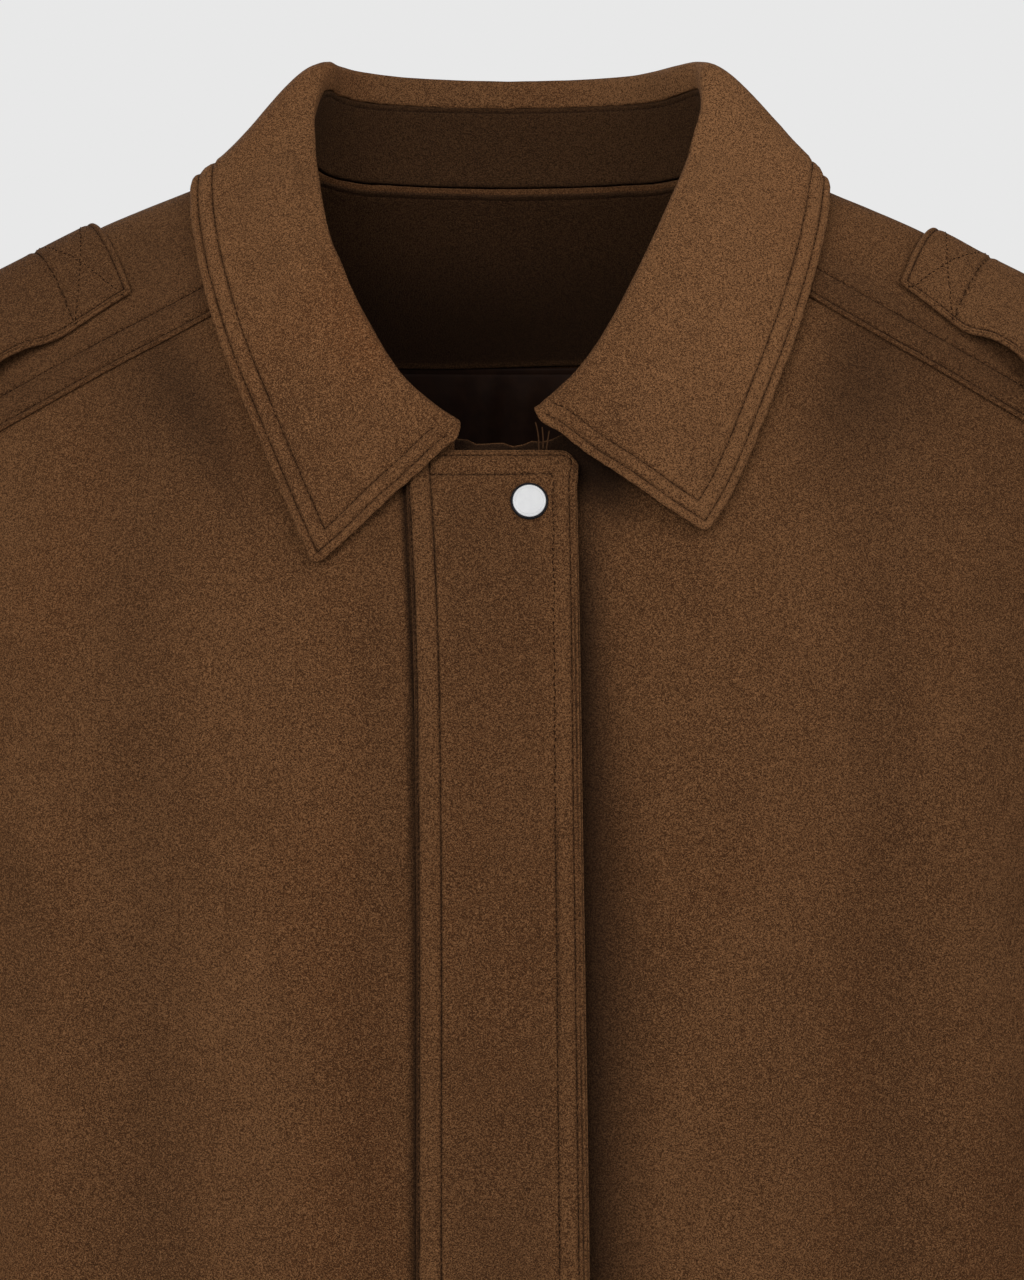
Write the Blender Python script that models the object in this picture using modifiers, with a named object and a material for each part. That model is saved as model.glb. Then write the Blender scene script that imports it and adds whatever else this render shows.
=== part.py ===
"""Suede jacket with a turn-down collar, a storm placket closed by one snap, and shoulder straps.

The jacket keeps the hollow form it has when worn. It faces -Y, +Z is up and +X is the wearer's left.
The origin lies midway between the two shoulder points beside the neck, where the wearer holds it up.
Sizes are in millimetres, and become metres where the meshes are made. Each cloth piece is an open
sheet, worked out from the sections below, with a Solidify wall.
"""
import math

import bmesh
import bpy
import numpy as np
from mathutils import Matrix, Vector

MM = 0.001
RIGHT, LEFT = -1, 1  # the wearer's side, as the sign of x
FRONT, BACK = -1, 1  # the sign of y
SIDE_NAMES = {RIGHT: "right", LEFT: "left"}

# Cloth walls
SUEDE = 2.0  # one layer of suede
COLLAR_WALL = 2.6  # two pared layers, turned and pressed
PLACKET_WALL = 3.6  # two layers with turned edges
STRAP_WALL = 3.2
FACING_WALL = 1.6
LINING_WALL = 1.2
LAYER_GAP = 0.3  # between a piece and what lies on it
PLACKET_GAP = 0.4  # behind the placket, whose flats bridge the curve of the front
LINING_GAP = 0.4  # between the back and what lines it
SEAM_PULL = 0.2  # how far each of two panels stops short of their seam
SIDE_SEAM_PULL = 0.3
STAND_SEAM_PULL = 0.68
LINING_SHORT = 0.68  # how far the lining stops short of the facing

# Body below the armholes: rings, squarer than an ellipse, from the base of the armholes to the hem
BASE_Z = -290.0
SQUARENESS = 2.8
BODY_RINGS = (
    # z, half_width, front_depth, back_depth
    (-660, 256, 121, 118),
    (-560, 254, 122, 118),
    (-430, 250, 122, 118),
    (-345, 248, 121, 122),
    (-290, 248, 120, 128),
    (-235, 248, 120, 122),
)
LOWER_ROWS = (-660, -600, -535, -470, -405, -345, -290)

# Shoulders above that: at each x the cloth arches from the front over a ridge to the back
NECK_HALF_WIDTH = 88.0
SHOULDER_SLOPE = 0.42
SHOULDER_ROUNDING = 40.0
ARMHOLE_X = 236.0
ARM_DROP_FROM, ARM_DROP = 160.0, 0.0019  # the ridge bends down past this x, by this much per mm squared
RISE_EASE = 0.06  # how gently the arch begins above the armholes
RIDGE_EASE = 0.04  # how softly it turns over the ridge
ARCH_FULLNESS = (
    # x, front, back: 0.5 is a round arch, 1 a wedge
    (0, 0.60, 0.50),
    (88, 0.66, 0.58),
    (158, 0.72, 0.64),
    (236, 0.70, 0.66),
)

# Neckline, from the centre back over the shoulder point to the centre front
NECK_BACK = (
    # x, z
    (0, -12.5), (50, -12), (70, -11), (81, -8), (86.5, -3.4), (88, 0),
)
NECK_FRONT = (
    # x, z
    (88, 0), (87.6, -12), (86, -26), (81.5, -50), (75, -70), (66, -89), (54, -106), (38, -119), (20, -126.5),
    (0, -128),
)

# Forward shoulder seams: height at x = 125 and fall per mm outwards
SHOULDER_SEAM = {
    RIGHT: (-76.0, 0.541),
    LEFT: (-66.4, 0.573),
}

# Front edges under the placket, and how far the left one lies behind the right one
FRONT_EDGE = {RIGHT: 22.0, LEFT: -18.0}
UNDERLAP_SINK = 4.0
SINK_INSIDE, SINK_OUTSIDE = 34.0, 96.0
SINK_TOP, SINK_FULL = -128.0, -146.0

# Soft vertical folds that the body hangs in
DRAPES = (
    # face, x, half_width, depth (outwards), top, full
    (FRONT, -95, 30, 4.0, -185, -330),
    (FRONT, -148, 22, -4.0, -200, -400),
    (FRONT, -192, 20, 3.0, -220, -420),
    (FRONT, -54, 17, -2.5, -200, -330),
    (FRONT, 104, 30, 4.5, -190, -340),
    (FRONT, 152, 22, -4.5, -170, -380),
    (FRONT, 196, 20, 3.0, -210, -450),
    (BACK, -150, 26, 3.5, -190, -420),
    (BACK, -88, 24, -4.0, -150, -380),
    (BACK, -30, 28, 4.0, -230, -460),
    (BACK, 36, 24, -3.5, -200, -400),
    (BACK, 98, 28, 4.5, -170, -420),
    (BACK, 165, 22, -3.5, -220, -430),
)

# Panel grids: where their columns and rows fall, as fractions
EDGE_BEND = 1.5  # how late, going outwards, a panel's rows bend to meet the armhole's points
INNER_COLUMNS = (0, 0.26, 0.48, 0.66, 0.79, 0.9, 1)
OUTER_COLUMNS = (0, 0.19, 0.38, 0.57, 0.74, 0.87, 0.953, 1)
FRONT_ROWS = (0, 0.17, 0.35, 0.53, 0.71, 0.88, 1)
BACK_ROWS = (0, 0.13, 0.26, 0.39, 0.51, 0.638, 0.82, 1)
FACING_ROW = 5  # the back row along the facing's lower edge
FACING_COLUMNS = 6  # columns of the facing each side of the centre
FACING_SHORT = 3.5  # the facing's top edge lies this far below the neckline
LINING_INSET = 3  # columns between the side seam and the lining
OVER_RIDGE = (0.3, 0.62)  # shares of the drop from the ridge to the forward seam, at the rows between them

# Armhole: a scoop under the arm, then heights up the front and the back
SCOOP_TOP = -225.0
SCOOP_ANGLES = (90, 67.5, 45, 22.5, 0)
ARMHOLE_FRONT_Z = (-180.0,)
ARMHOLE_BACK_Z = (-170.0, -110.0)
SLEEVE_GAP_TOP, SLEEVE_GAP_BOTTOM = 1.0, 2.7

# Sleeves: each row is a ring, given by its inner and its outer point
SLEEVE_RINGS = (
    # inner_x, inner_z, outer_x, outer_z, half_depth, forward
    (256, -303, 283, -100, 60, 0),
    (261, -325, 325, -160, 64, 2),
    (267, -360, 356, -235, 64, 4),
    (273, -405, 376, -312, 61, 7),
    (280, -460, 388, -390, 57, 12),
    (289, -515, 397, -468, 52, 18),
    (299, -565, 403, -540, 47, 25),
    (312, -612, 408, -602, 42, 32),
)

# Collar, from the centre back to each front end. "along" is measured on the neckline.
COLLAR_SHARED = (
    # along, fold_x, fold_y, fold_z, edge_x, edge_y, edge_z, edge_lift
    (0, 0, 70, 36, 0, 72, -33, 6),
    (26, 24, 68, 36, 34, 72, -32.5, 6),
    (51, 45, 59, 36.2, 65, 66, -30, 6),
    (73, 62, 43, 36.8, 94, 50, -24.5, 6),
    (92, 73.5, 25, 37.6, 116, 32, -18.5, 6.5),
)
COLLAR_FRONT = {
    RIGHT: (
        (103, 77.5, 13, 38, 126.5, 17, -15.5, 6.5),
        (114, 82.5, 2.5, 33, 131.5, 1, -14.5, 3.6),
        (130, 86.5, -9, 18.5, 134.5, -10, -18, 6),
        (146, 86.2, -18, 4.5, 135, -20, -25.5, 5.5),
        (163, 84.7, -27, -10, 134.5, -30, -34, 5),
        (194, 78.3, -46, -38, 128.5, -48, -60, 5),
        (219, 68.7, -64, -60.5, 118, -66, -92, 5),
        (241, 58, -79, -82, 107, -80, -118, 5),
        (261, 45.4, -91, -102, 97, -90, -141, 5),
        (279, 32, -97.5, -115, 88.5, -98, -160.5, 5),
        (299, 18.9, -101.5, -124.5, 80, -104, -179.2, 5),
    ),
    LEFT: (
        (103, 82.5, 13, 38, 126.5, 17, -15.5, 6.5),
        (114, 86, 2.5, 34, 133, 1, -14.5, 3.6),
        (130, 86.6, -8, 20, 136.5, -10, -18.5, 6),
        (145, 82.6, -17, 6.5, 136.6, -20, -25.5, 5.5),
        (160, 78, -26, -8, 135.5, -30, -34, 5),
        (191, 66, -42, -35, 129, -48, -58, 5),
        (219, 54, -60, -60, 119.5, -64, -86, 5),
        (241, 44, -75, -79, 109, -78, -112, 5),
        (258, 33.8, -87, -95.6, 100, -88, -134, 5),
        (277, 22.5, -95, -108, 92, -94, -151, 5),
        (306, 11.1, -101, -117.8, 83.3, -100, -165.3, 5),
    ),
}
STAND_SEAM_DROP = 16.0  # the leaf begins this far below its fold
STAND_SEAM_RANGE = (0.28, 0.56)  # that seam stays between these shares of the way up to the fold
STAND_START = 2.3  # the stand starts this far off the panels' middle surface
STAND_STEPS = (0, 0.38, 0.72, 1)  # shares of the way up to that seam
LEAF_INNER_STEPS = (0, 0.4, 0.75)  # shares of the way from it to the fold
LEAF_STEPS = (0, 0.07, 0.16, 0.3, 0.5, 0.75, 1)
STAND_RISE = 0.45  # the stand goes straight up this share of the way to the fold
FOLD_RADIUS = 7.0
FOLD_RADIUS_SHARE = 0.33  # at most this share of the way up from the neckline
FOLD_OVER = 1.5  # how far the leaf comes over the fold, in radii
LEAF_HIP = 0.45  # where the leaf stands out most, as a share of the way up from its edge
LEAF_BULGE = {RIGHT: -1.5, LEFT: 6.0}  # how far the leaf stands out halfway down
FOLD_CLEARANCE = 5.0
LEAF_CLEARANCE = 4.2
STAND_CLEARANCE = 7.6  # where the leaf passes over the stand
OVER_STAND = (0.35, 0.85)  # shares of the way down the leaf between which it comes off the stand
PLACKET_CLEARANCE = 7.4
PLACKET_MIDDLE = -8.0  # x midway across the placket
OVER_PLACKET_Z = (-122, -130)  # the leaf comes onto the placket between these heights
OVER_PLACKET_X = (50, 40)  # and between these distances from its middle

# Placket: its left and right edge at each height
PLACKET_SECTIONS = (
    # z, left, right
    (-660, -36.5, 35.0),
    (-470, -36.7, 33.2),
    (-275, -37.2, 30.2),
    (-210, -38.5, 29.2),
    (-157, -41.0, 28.2),
    (-134, -42.5, 27.6),
)
PLACKET_COLUMNS = (0, 0.14, 0.5, 0.8, 0.93, 1)
PLACKET_TOP_DROP = (0, 0, 0, 0, 1.4, 6.0)  # the rounded top corner
PLACKET_TOP = -134.0

# Shoulder straps, from the inner end to the armhole: the rear and the front edge, and each one's gap below
STRAP_REAR_Y = 6.0
STRAP_LIFT_BEND = 1.5  # how late, going forward, its gap grows
STRAP_ACROSS = (-1, -0.45, 0, 0.14, 0.42, 0.7, 1)  # shares of the way back or forward from the ridge
STRAP_SECTIONS = {
    RIGHT: (
        # rear_x, front_x, front_y, rear_gap, front_gap
        (180, 158, -36, 0.9, 0.5),
        (190, 178, -36, 0.9, 1.2),
        (202, 190, -35, 1.1, 4.5),
        (213, 202, -33, 1.6, 7.5),
        (222, 213, -33, 2.2, 8.0),
        (229, 224, -36, 2.4, 5.5),
        (234.4, 234.4, -38, 2.2, 1.6),
    ),
    LEFT: (
        (184, 165, -31, 0.9, 0.5),
        (194, 185, -32.5, 0.9, 1.2),
        (205, 193, -31.5, 1.1, 4.0),
        (214, 202, -29.5, 1.6, 7.5),
        (222, 213, -30, 2.2, 8.0),
        (229, 224, -33, 2.4, 5.5),
        (234.4, 234.4, -36, 2.2, 1.6),
    ),
}

# Snap fastener
SNAP_X, SNAP_Z = 8.6, -155.6
SNAP_SIDES = 20
SNAP_SLACK = 0.3  # the flat stretches of the placket lie this far inside its curve
CAP_PROFILE = ((0, 1.7), (5.4, 1.6), (6.7, 1.15), (7.15, 0.5), (7.0, 0), (0, 0))
SOCKET_PROFILE = ((2.4, 1.8), (5.0, 1.8), (5.0, 0), (2.4, 0))
STUD_PROFILE = ((0, 3.0), (1.5, 3.0), (1.9, 2.5), (1.9, 0.9), (4.6, 0.9), (4.6, 0), (0, 0))

MATERIALS = {
    # name: colour, roughness, metallic
    "suede": ((0.105, 0.052, 0.023, 1), 0.95, 0.0),
    "lining": ((0.022, 0.010, 0.006, 1), 0.7, 0.0),
    "enamel": ((0.80, 0.80, 0.80, 1), 0.3, 0.0),
    "steel": ((0.55, 0.55, 0.56, 1), 0.3, 1.0),
}


def smooth_curve(rows, column, key=0):
    """Return a function that runs smoothly through one column of a table, against its key column."""
    knots = np.array([row[key] for row in rows], float)
    values = np.array([row[column] for row in rows], float)
    slopes = np.gradient(values, knots)

    def curve(place):
        place = np.clip(np.asarray(place, float), knots[0], knots[-1])
        low = np.clip(np.searchsorted(knots, place, side="right") - 1, 0, len(knots) - 2)
        step = knots[low + 1] - knots[low]
        t = (place - knots[low]) / step
        start = values[low] * (1 + 2 * t) * (1 - t) ** 2 + slopes[low] * step * t * (1 - t) ** 2
        end = values[low + 1] * t * t * (3 - 2 * t) - slopes[low + 1] * step * t * t * (1 - t)
        return start + end

    return curve


def smoothstep(value, low, high):
    """Return 0 at low and 1 at high, easing in between."""
    t = np.clip((value - low) / (high - low), 0, 1)
    return t * t * (3 - 2 * t)


HALF_WIDTH = smooth_curve(BODY_RINGS, 1)
DEPTH = {FRONT: smooth_curve(BODY_RINGS, 2), BACK: smooth_curve(BODY_RINGS, 3)}
FULLNESS = {FRONT: smooth_curve(ARCH_FULLNESS, 1), BACK: smooth_curve(ARCH_FULLNESS, 2)}


def ring_depth(x, z, face):
    """Return how deep the ring at height z is at a place across it."""
    across = np.clip(np.abs(x) / HALF_WIDTH(z), 0, 1)
    return DEPTH[face](z) * (1 - across**SQUARENESS) ** (1 / SQUARENESS)


def arch_rise(rise):
    """Return how far the arch has closed at a share of the way up to the ridge."""
    return rise**2 * ((1 + RISE_EASE) / (rise + RISE_EASE)) ** 0.5


def arch_reach(share, fullness):
    """Return how far the arch reaches from the ridge, as a share, where this share of it is still open."""
    return share**0.5 * ((share + RIDGE_EASE) / (1 + RIDGE_EASE)) ** (fullness - 0.5)


def arch_share(reach, fullness):
    """Return the open share of the arch at a reach: arch_reach the other way about."""
    share = reach ** (1 / fullness)
    for _ in range(14):
        share = (share + (reach * ((1 + RIDGE_EASE) / (share + RIDGE_EASE)) ** (fullness - 0.5)) ** 2) / 2
    return share


def ridge_z(x):
    """Return the height of the shoulder ridge."""
    fall = np.hypot(x, SHOULDER_ROUNDING) - math.hypot(NECK_HALF_WIDTH, SHOULDER_ROUNDING)
    return -SHOULDER_SLOPE * fall - ARM_DROP * np.maximum(0, np.abs(x) - ARM_DROP_FROM) ** 2


def drape(x, z, face):
    """Return how far the soft folds stand out at a point of the body."""
    out = np.zeros(np.broadcast(x, z).shape)
    for row_face, at, half_width, depth, top, full in DRAPES:
        if row_face == face:
            out = out + depth * np.exp(-(((x - at) / half_width) ** 2)) * smoothstep(z, top, full)
    return out


def body_y(x, z, face):
    """Return the y of the front or back of the body, folds and all."""
    rise = np.clip((z - BASE_Z) / (ridge_z(x) - BASE_Z), 0, 1)
    arch = arch_reach(1 - arch_rise(rise), FULLNESS[face](np.abs(x)))
    return face * (ring_depth(x, np.minimum(z, BASE_Z), face) * arch + drape(x, z, face))


def shoulder_z(x, y):
    """Return the height of the shoulder above a place in plan."""
    reach = np.where(y < 0, ring_depth(x, BASE_Z, FRONT), ring_depth(x, BASE_Z, BACK))
    fullness = np.where(y < 0, FULLNESS[FRONT](np.abs(x)), FULLNESS[BACK](np.abs(x)))
    rises = np.linspace(0, 1, 400)
    rise = np.interp(1 - arch_share(np.abs(y) / reach, fullness), arch_rise(rises), rises)
    return BASE_Z + (ridge_z(x) - BASE_Z) * rise


def body_points(x, z, face):
    """Return points on the body at x and z."""
    x, z = np.broadcast_arrays(np.asarray(x, float), np.asarray(z, float))
    return np.stack([x, body_y(x, z, face), z], axis=-1)


def unit(vectors):
    """Return the vectors at length 1."""
    return vectors / np.linalg.norm(vectors, axis=-1, keepdims=True)


def grid_normals(grid, outside):
    """Return the normals of a grid of points, turned to the side that the vector function outside gives."""
    across = np.gradient(grid, axis=1)
    along = np.gradient(grid, axis=0)
    normals = unit(np.cross(across, along))
    away = outside(grid)
    return normals * np.sign(np.sum(normals * away, axis=-1, keepdims=True))


def from_body_axis(grid):
    """Return vectors from a vertical axis inside the body."""
    return grid - np.array([0, 0, BASE_Z])


def pull_edge(grid, edge, amount):
    """Draw one edge of a grid, such as first_row or last_column, back from its seam."""
    views = {
        "first_row": (grid[0], grid[1]),
        "last_row": (grid[-1], grid[-2]),
        "first_column": (grid[:, 0], grid[:, 1]),
        "last_column": (grid[:, -1], grid[:, -2]),
    }
    outer, inner = views[edge]
    outer += unit(inner - outer) * amount


def neck_back_z(x):
    """Return the height of the neckline's back half at x."""
    return smooth_curve(NECK_BACK, 1)(np.abs(x))


def neck_front_z(x):
    """Return the height of the neckline's front half at x."""
    return smooth_curve(NECK_FRONT[::-1], 1)(np.abs(x))


def neck_front_x(z):
    """Return the distance of the neckline's front half from the centre at height z."""
    return smooth_curve(NECK_FRONT[::-1], 0, key=1)(z)


def seam_z(side, x):
    """Return the height of the forward shoulder seam at a distance x from the centre."""
    height, fall = SHOULDER_SEAM[side]
    return height - fall * (x - 125)


def seam_corner(side):
    """Return how far from the centre the forward shoulder seam meets the neckline."""
    x = np.linspace(70, NECK_HALF_WIDTH, 400)
    return float(x[np.argmin(np.abs(neck_front_z(x) - seam_z(side, x)))])


def armhole_scoop(face):
    """Return the armhole's points under the arm, from the side seam up to the top of the scoop."""
    top_y = abs(body_y(ARMHOLE_X, SCOOP_TOP, face))
    points = []
    for angle in SCOOP_ANGLES:
        z = SCOOP_TOP - (SCOOP_TOP - BASE_Z) * math.sin(math.radians(angle))
        rise = (z - BASE_Z) / (ridge_z(ARMHOLE_X) - BASE_Z)
        arch = arch_reach(1 - arch_rise(rise), FULLNESS[face](ARMHOLE_X))
        share = top_y * math.cos(math.radians(angle)) / arch / DEPTH[face](BASE_Z)
        x = HALF_WIDTH(BASE_Z) * (1 - share**SQUARENESS) ** (1 / SQUARENESS)
        points.append((float(x), z))
    return points


def armhole_front(side):
    """Return (x, z) up the front of the armhole, from the side seam to the forward shoulder seam."""
    upper = [(ARMHOLE_X, z) for z in ARMHOLE_FRONT_Z + (seam_z(side, ARMHOLE_X),)]
    return np.array(armhole_scoop(FRONT) + upper)


def armhole_back():
    """Return (x, z) up the back of the armhole, from the side seam to the ridge of the shoulder."""
    upper = [(ARMHOLE_X, z) for z in ARMHOLE_BACK_Z + (float(ridge_z(ARMHOLE_X)),)]
    return np.array(armhole_scoop(BACK) + upper)


def over_ridge_z(side, x, share):
    """Return the height of a row between the ridge and the forward shoulder seam."""
    return ridge_z(x) - share * (ridge_z(x) - seam_z(side, x))


def spread(start, middle, end):
    """Return columns from start to middle and on to end, at the panels' fractions."""
    inner = start + (middle - start) * np.array(INNER_COLUMNS)
    outer = middle + (end - middle) * np.array(OUTER_COLUMNS)
    return np.concatenate([inner, outer[1:]])


def front_grid(side):
    """Return the grid of a front panel, rows from the hem up and columns from its front edge."""
    corner = seam_corner(side)
    start = FRONT_EDGE[side]
    rows = []
    for z in LOWER_ROWS:
        x = spread(start, corner, HALF_WIDTH(z))
        rows.append(body_points(side * x, z, FRONT))
    armhole = armhole_front(side)
    share_at_arm = (armhole[:, 1] - BASE_Z) / (armhole[-1, 1] - BASE_Z)
    for share, arm_share, (edge_x, _) in list(zip(FRONT_ROWS, share_at_arm, armhole))[1:]:
        x = spread(start, corner, edge_x)
        top = np.where(np.abs(x) < corner, neck_front_z(x), seam_z(side, x))
        weight = smoothstep(x, corner, edge_x) ** EDGE_BEND
        z = BASE_Z + (top - BASE_Z) * (share + (arm_share - share) * weight)
        rows.append(body_points(side * x, z, FRONT))
    grid = np.array(rows)
    if side == LEFT:
        sink = UNDERLAP_SINK * (1 - smoothstep(grid[..., 0], SINK_INSIDE, SINK_OUTSIDE))
        grid[..., 1] += sink * smoothstep(grid[..., 2], SINK_TOP, SINK_FULL)
    pull_edge(grid, "last_column", SIDE_SEAM_PULL)
    corner_column = len(INNER_COLUMNS) - 1
    pull_edge(grid[:, corner_column:], "last_row", SEAM_PULL)
    return grid


def back_grid():
    """Return the grid of the back up to the neckline and shoulder ridges, from right to left."""
    rows = []
    for z in LOWER_ROWS:
        x = spread(0, NECK_HALF_WIDTH, HALF_WIDTH(z))
        rows.append((x, np.full(len(x), float(z))))
    armhole = armhole_back()
    arm_rise = (armhole[:, 1] - BASE_Z) / (armhole[-1, 1] - BASE_Z)
    for share, rise_at_arm, (edge_x, _) in list(zip(BACK_ROWS, arm_rise, armhole))[1:]:
        x = spread(0, NECK_HALF_WIDTH, edge_x)
        top = np.where(x < NECK_HALF_WIDTH, neck_back_z(x), ridge_z(x))
        top_rise = np.clip((top - BASE_Z) / (ridge_z(x) - BASE_Z), 0, 1)
        rise = np.sin(share * np.arcsin(top_rise))
        weight = smoothstep(x, NECK_HALF_WIDTH, edge_x) ** EDGE_BEND
        rise = rise + (rise_at_arm - rise) * weight
        rows.append((x, BASE_Z + (ridge_z(x) - BASE_Z) * rise))
    grid = []
    for x, z in rows:
        right_half = body_points(-x[::-1], z[::-1], BACK)
        left_half = body_points(x, z, BACK)
        grid.append(np.concatenate([right_half, left_half[1:]]))
    grid = np.array(grid)
    pull_edge(grid[: len(LOWER_ROWS)], "first_column", SIDE_SEAM_PULL)
    pull_edge(grid[: len(LOWER_ROWS)], "last_column", SIDE_SEAM_PULL)
    return grid


def over_shoulder_grid(side, back):
    """Return the strip of the back panel that comes over a shoulder, from its ridge to the forward seam."""
    count = len(OUTER_COLUMNS)
    ridge = back[-1, -count:] if side == LEFT else back[-1, :count][::-1]
    rows = [ridge]
    for share in OVER_RIDGE + (1,):
        inner_x = float(neck_front_x(over_ridge_z(side, NECK_HALF_WIDTH, share)))
        if share == 1:
            inner_x = seam_corner(side)
        x = inner_x + (ARMHOLE_X - inner_x) * np.array(OUTER_COLUMNS)
        rows.append(body_points(side * x, over_ridge_z(side, x, share), FRONT))
    grid = np.array(rows)
    pull_edge(grid, "last_row", SEAM_PULL)
    return grid


def armhole_loop(side):
    """Return the whole armhole edge in order: ridge, down the front, under the arm and up the back."""
    front = armhole_front(side)[::-1]
    back = armhole_back()
    top = [(ARMHOLE_X, float(over_ridge_z(side, ARMHOLE_X, share))) for share in (0,) + OVER_RIDGE]
    front = np.concatenate([top, front])
    front_points = body_points(side * front[:, 0], front[:, 1], FRONT)
    back_points = body_points(side * back[1:-1, 0], back[1:-1, 1], BACK)
    return np.concatenate([front_points, back_points])


def sleeve_grid(side):
    """Return the rings of a sleeve, from just outside the armhole to the cuff."""
    loop = armhole_loop(side)
    top_z, bottom_z = loop[:, 2].max(), loop[:, 2].min()
    middle, half = (top_z + bottom_z) / 2, (top_z - bottom_z) / 2
    half_depth = np.abs(loop[:, 1]).max()
    turn = np.arctan2(loop[:, 1] / half_depth, (loop[:, 2] - middle) / half)
    lowness = (top_z - loop[:, 2]) / (top_z - bottom_z)
    first = loop.copy()
    first[:, 0] += side * (SLEEVE_GAP_TOP + (SLEEVE_GAP_BOTTOM - SLEEVE_GAP_TOP) * lowness)
    rings = [first]
    for inner_x, inner_z, outer_x, outer_z, depth, forward in SLEEVE_RINGS:
        x = (outer_x + inner_x) / 2 + (outer_x - inner_x) / 2 * np.cos(turn)
        z = (outer_z + inner_z) / 2 + (outer_z - inner_z) / 2 * np.cos(turn)
        y = depth * np.sin(turn) - forward
        rings.append(np.stack([side * x, y, z], axis=-1))
    return np.array(rings)


def body_level(points):
    """Return 1 on the shoulders' and chest's surface, more outside it and less inside."""
    x, y, z = points[..., 0], points[..., 1], points[..., 2]
    front = y < 0
    reach = np.where(front, ring_depth(x, BASE_Z, FRONT), ring_depth(x, BASE_Z, BACK))
    fullness = np.where(front, FULLNESS[FRONT](np.abs(x)), FULLNESS[BACK](np.abs(x)))
    rise = np.maximum(0, (z - BASE_Z) / (ridge_z(x) - BASE_Z))
    return arch_share(np.abs(y) / reach, fullness) + arch_rise(rise)


def body_distance(points):
    """Return how far points lie outside the shoulders and chest, and which way is out."""
    step = 0.5
    slope = np.zeros(points.shape)
    for axis in range(3):
        shift = np.zeros(3)
        shift[axis] = step
        slope[..., axis] = (body_level(points + shift) - body_level(points - shift)) / (2 * step)
    steepness = np.linalg.norm(slope, axis=-1)
    return (body_level(points) - 1) / steepness, slope / steepness[..., None]


def settle(points, lift):
    """Move points straight out or in until they lie at a height above the shoulders and chest."""
    for _ in range(4):
        distance, out = body_distance(points)
        points = points + out * (lift - distance)[..., None]
    return points


def lift_clear(points, clearance):
    """Move points out only where they lie nearer to the shoulders and chest than the clearance."""
    for _ in range(4):
        distance, out = body_distance(points)
        points = points + out * np.maximum(0, clearance - distance)[..., None]
    return points


def neckline_path(side):
    """Return points along the neckline from back to front, and how far along it each lies."""
    back_x = np.linspace(0, NECK_HALF_WIDTH - 0.05, 80)
    turn_x, turn_z = NECK_FRONT[6]
    front_z = np.linspace(-0.5, turn_z, 80)
    end_x = np.linspace(turn_x - 1, 0, 40)
    back = body_points(back_x, neck_back_z(back_x), BACK)
    front = body_points(neck_front_x(front_z), front_z, FRONT)
    end = body_points(end_x, neck_front_z(end_x), FRONT)
    path = np.concatenate([back, front, end])
    along = np.concatenate([[0], np.cumsum(np.linalg.norm(np.diff(path, axis=0), axis=1))])
    return path * np.array([side, 1, 1]), along


def collar_guides(side, stations):
    """Return the neckline, fold and edge points of one half of the collar at stations along its table."""
    table = [(index,) + row for index, row in enumerate(COLLAR_SHARED + COLLAR_FRONT[side])]
    columns = [smooth_curve(table, column)(stations) for column in range(1, 9)]
    mirror = np.array([side, 1, 1])
    path, along = neckline_path(side)
    neck = np.stack([np.interp(columns[0], along, path[:, axis]) for axis in range(3)], axis=-1)
    fold = np.stack(columns[1:4], axis=-1) * mirror
    fold = lift_clear(fold, FOLD_CLEARANCE)
    edge = settle(np.stack(columns[4:7], axis=-1) * mirror, columns[7])
    return neck, fold, edge


def bezier(p0, p1, p2, p3, share):
    """Return a point on each of many cubic curves."""
    rest = 1 - share
    return p0 * rest**3 + 3 * p1 * share * rest**2 + 3 * p2 * share**2 * rest + p3 * share**3


def collar_sections(neck, fold, edge):
    """Return points up the stand, points up the leaf's inner side and points down the leaf, by station."""
    up = unit(fold - neck)
    fall = edge - fold
    out = unit(fall - np.sum(fall * up, axis=-1, keepdims=True) * up)
    rise = np.linalg.norm(fold - neck, axis=-1, keepdims=True)
    start = neck + up * STAND_START
    _, edge_out = body_distance(edge)
    radius = np.minimum(FOLD_RADIUS, rise * FOLD_RADIUS_SHARE)
    seam = np.clip(1 - STAND_SEAM_DROP / rise, *STAND_SEAM_RANGE)
    inside = (start, neck + up * rise * STAND_RISE, fold - out * radius, fold)
    stand = [bezier(*inside, seam * step) for step in STAND_STEPS]
    inner = [bezier(*inside, seam + (1 - seam) * step) for step in LEAF_INNER_STEPS]
    shoulder = fold + out * radius * FOLD_OVER
    bulge = np.where(edge[:, :1] < 0, LEAF_BULGE[RIGHT], LEAF_BULGE[LEFT])
    hip = edge + (fold - edge) * LEAF_HIP + edge_out * bulge
    leaf = [bezier(fold, shoulder, hip, edge, step) for step in LEAF_STEPS]
    return np.stack(stand, axis=1), np.stack(inner, axis=1), np.stack(leaf, axis=1)


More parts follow.
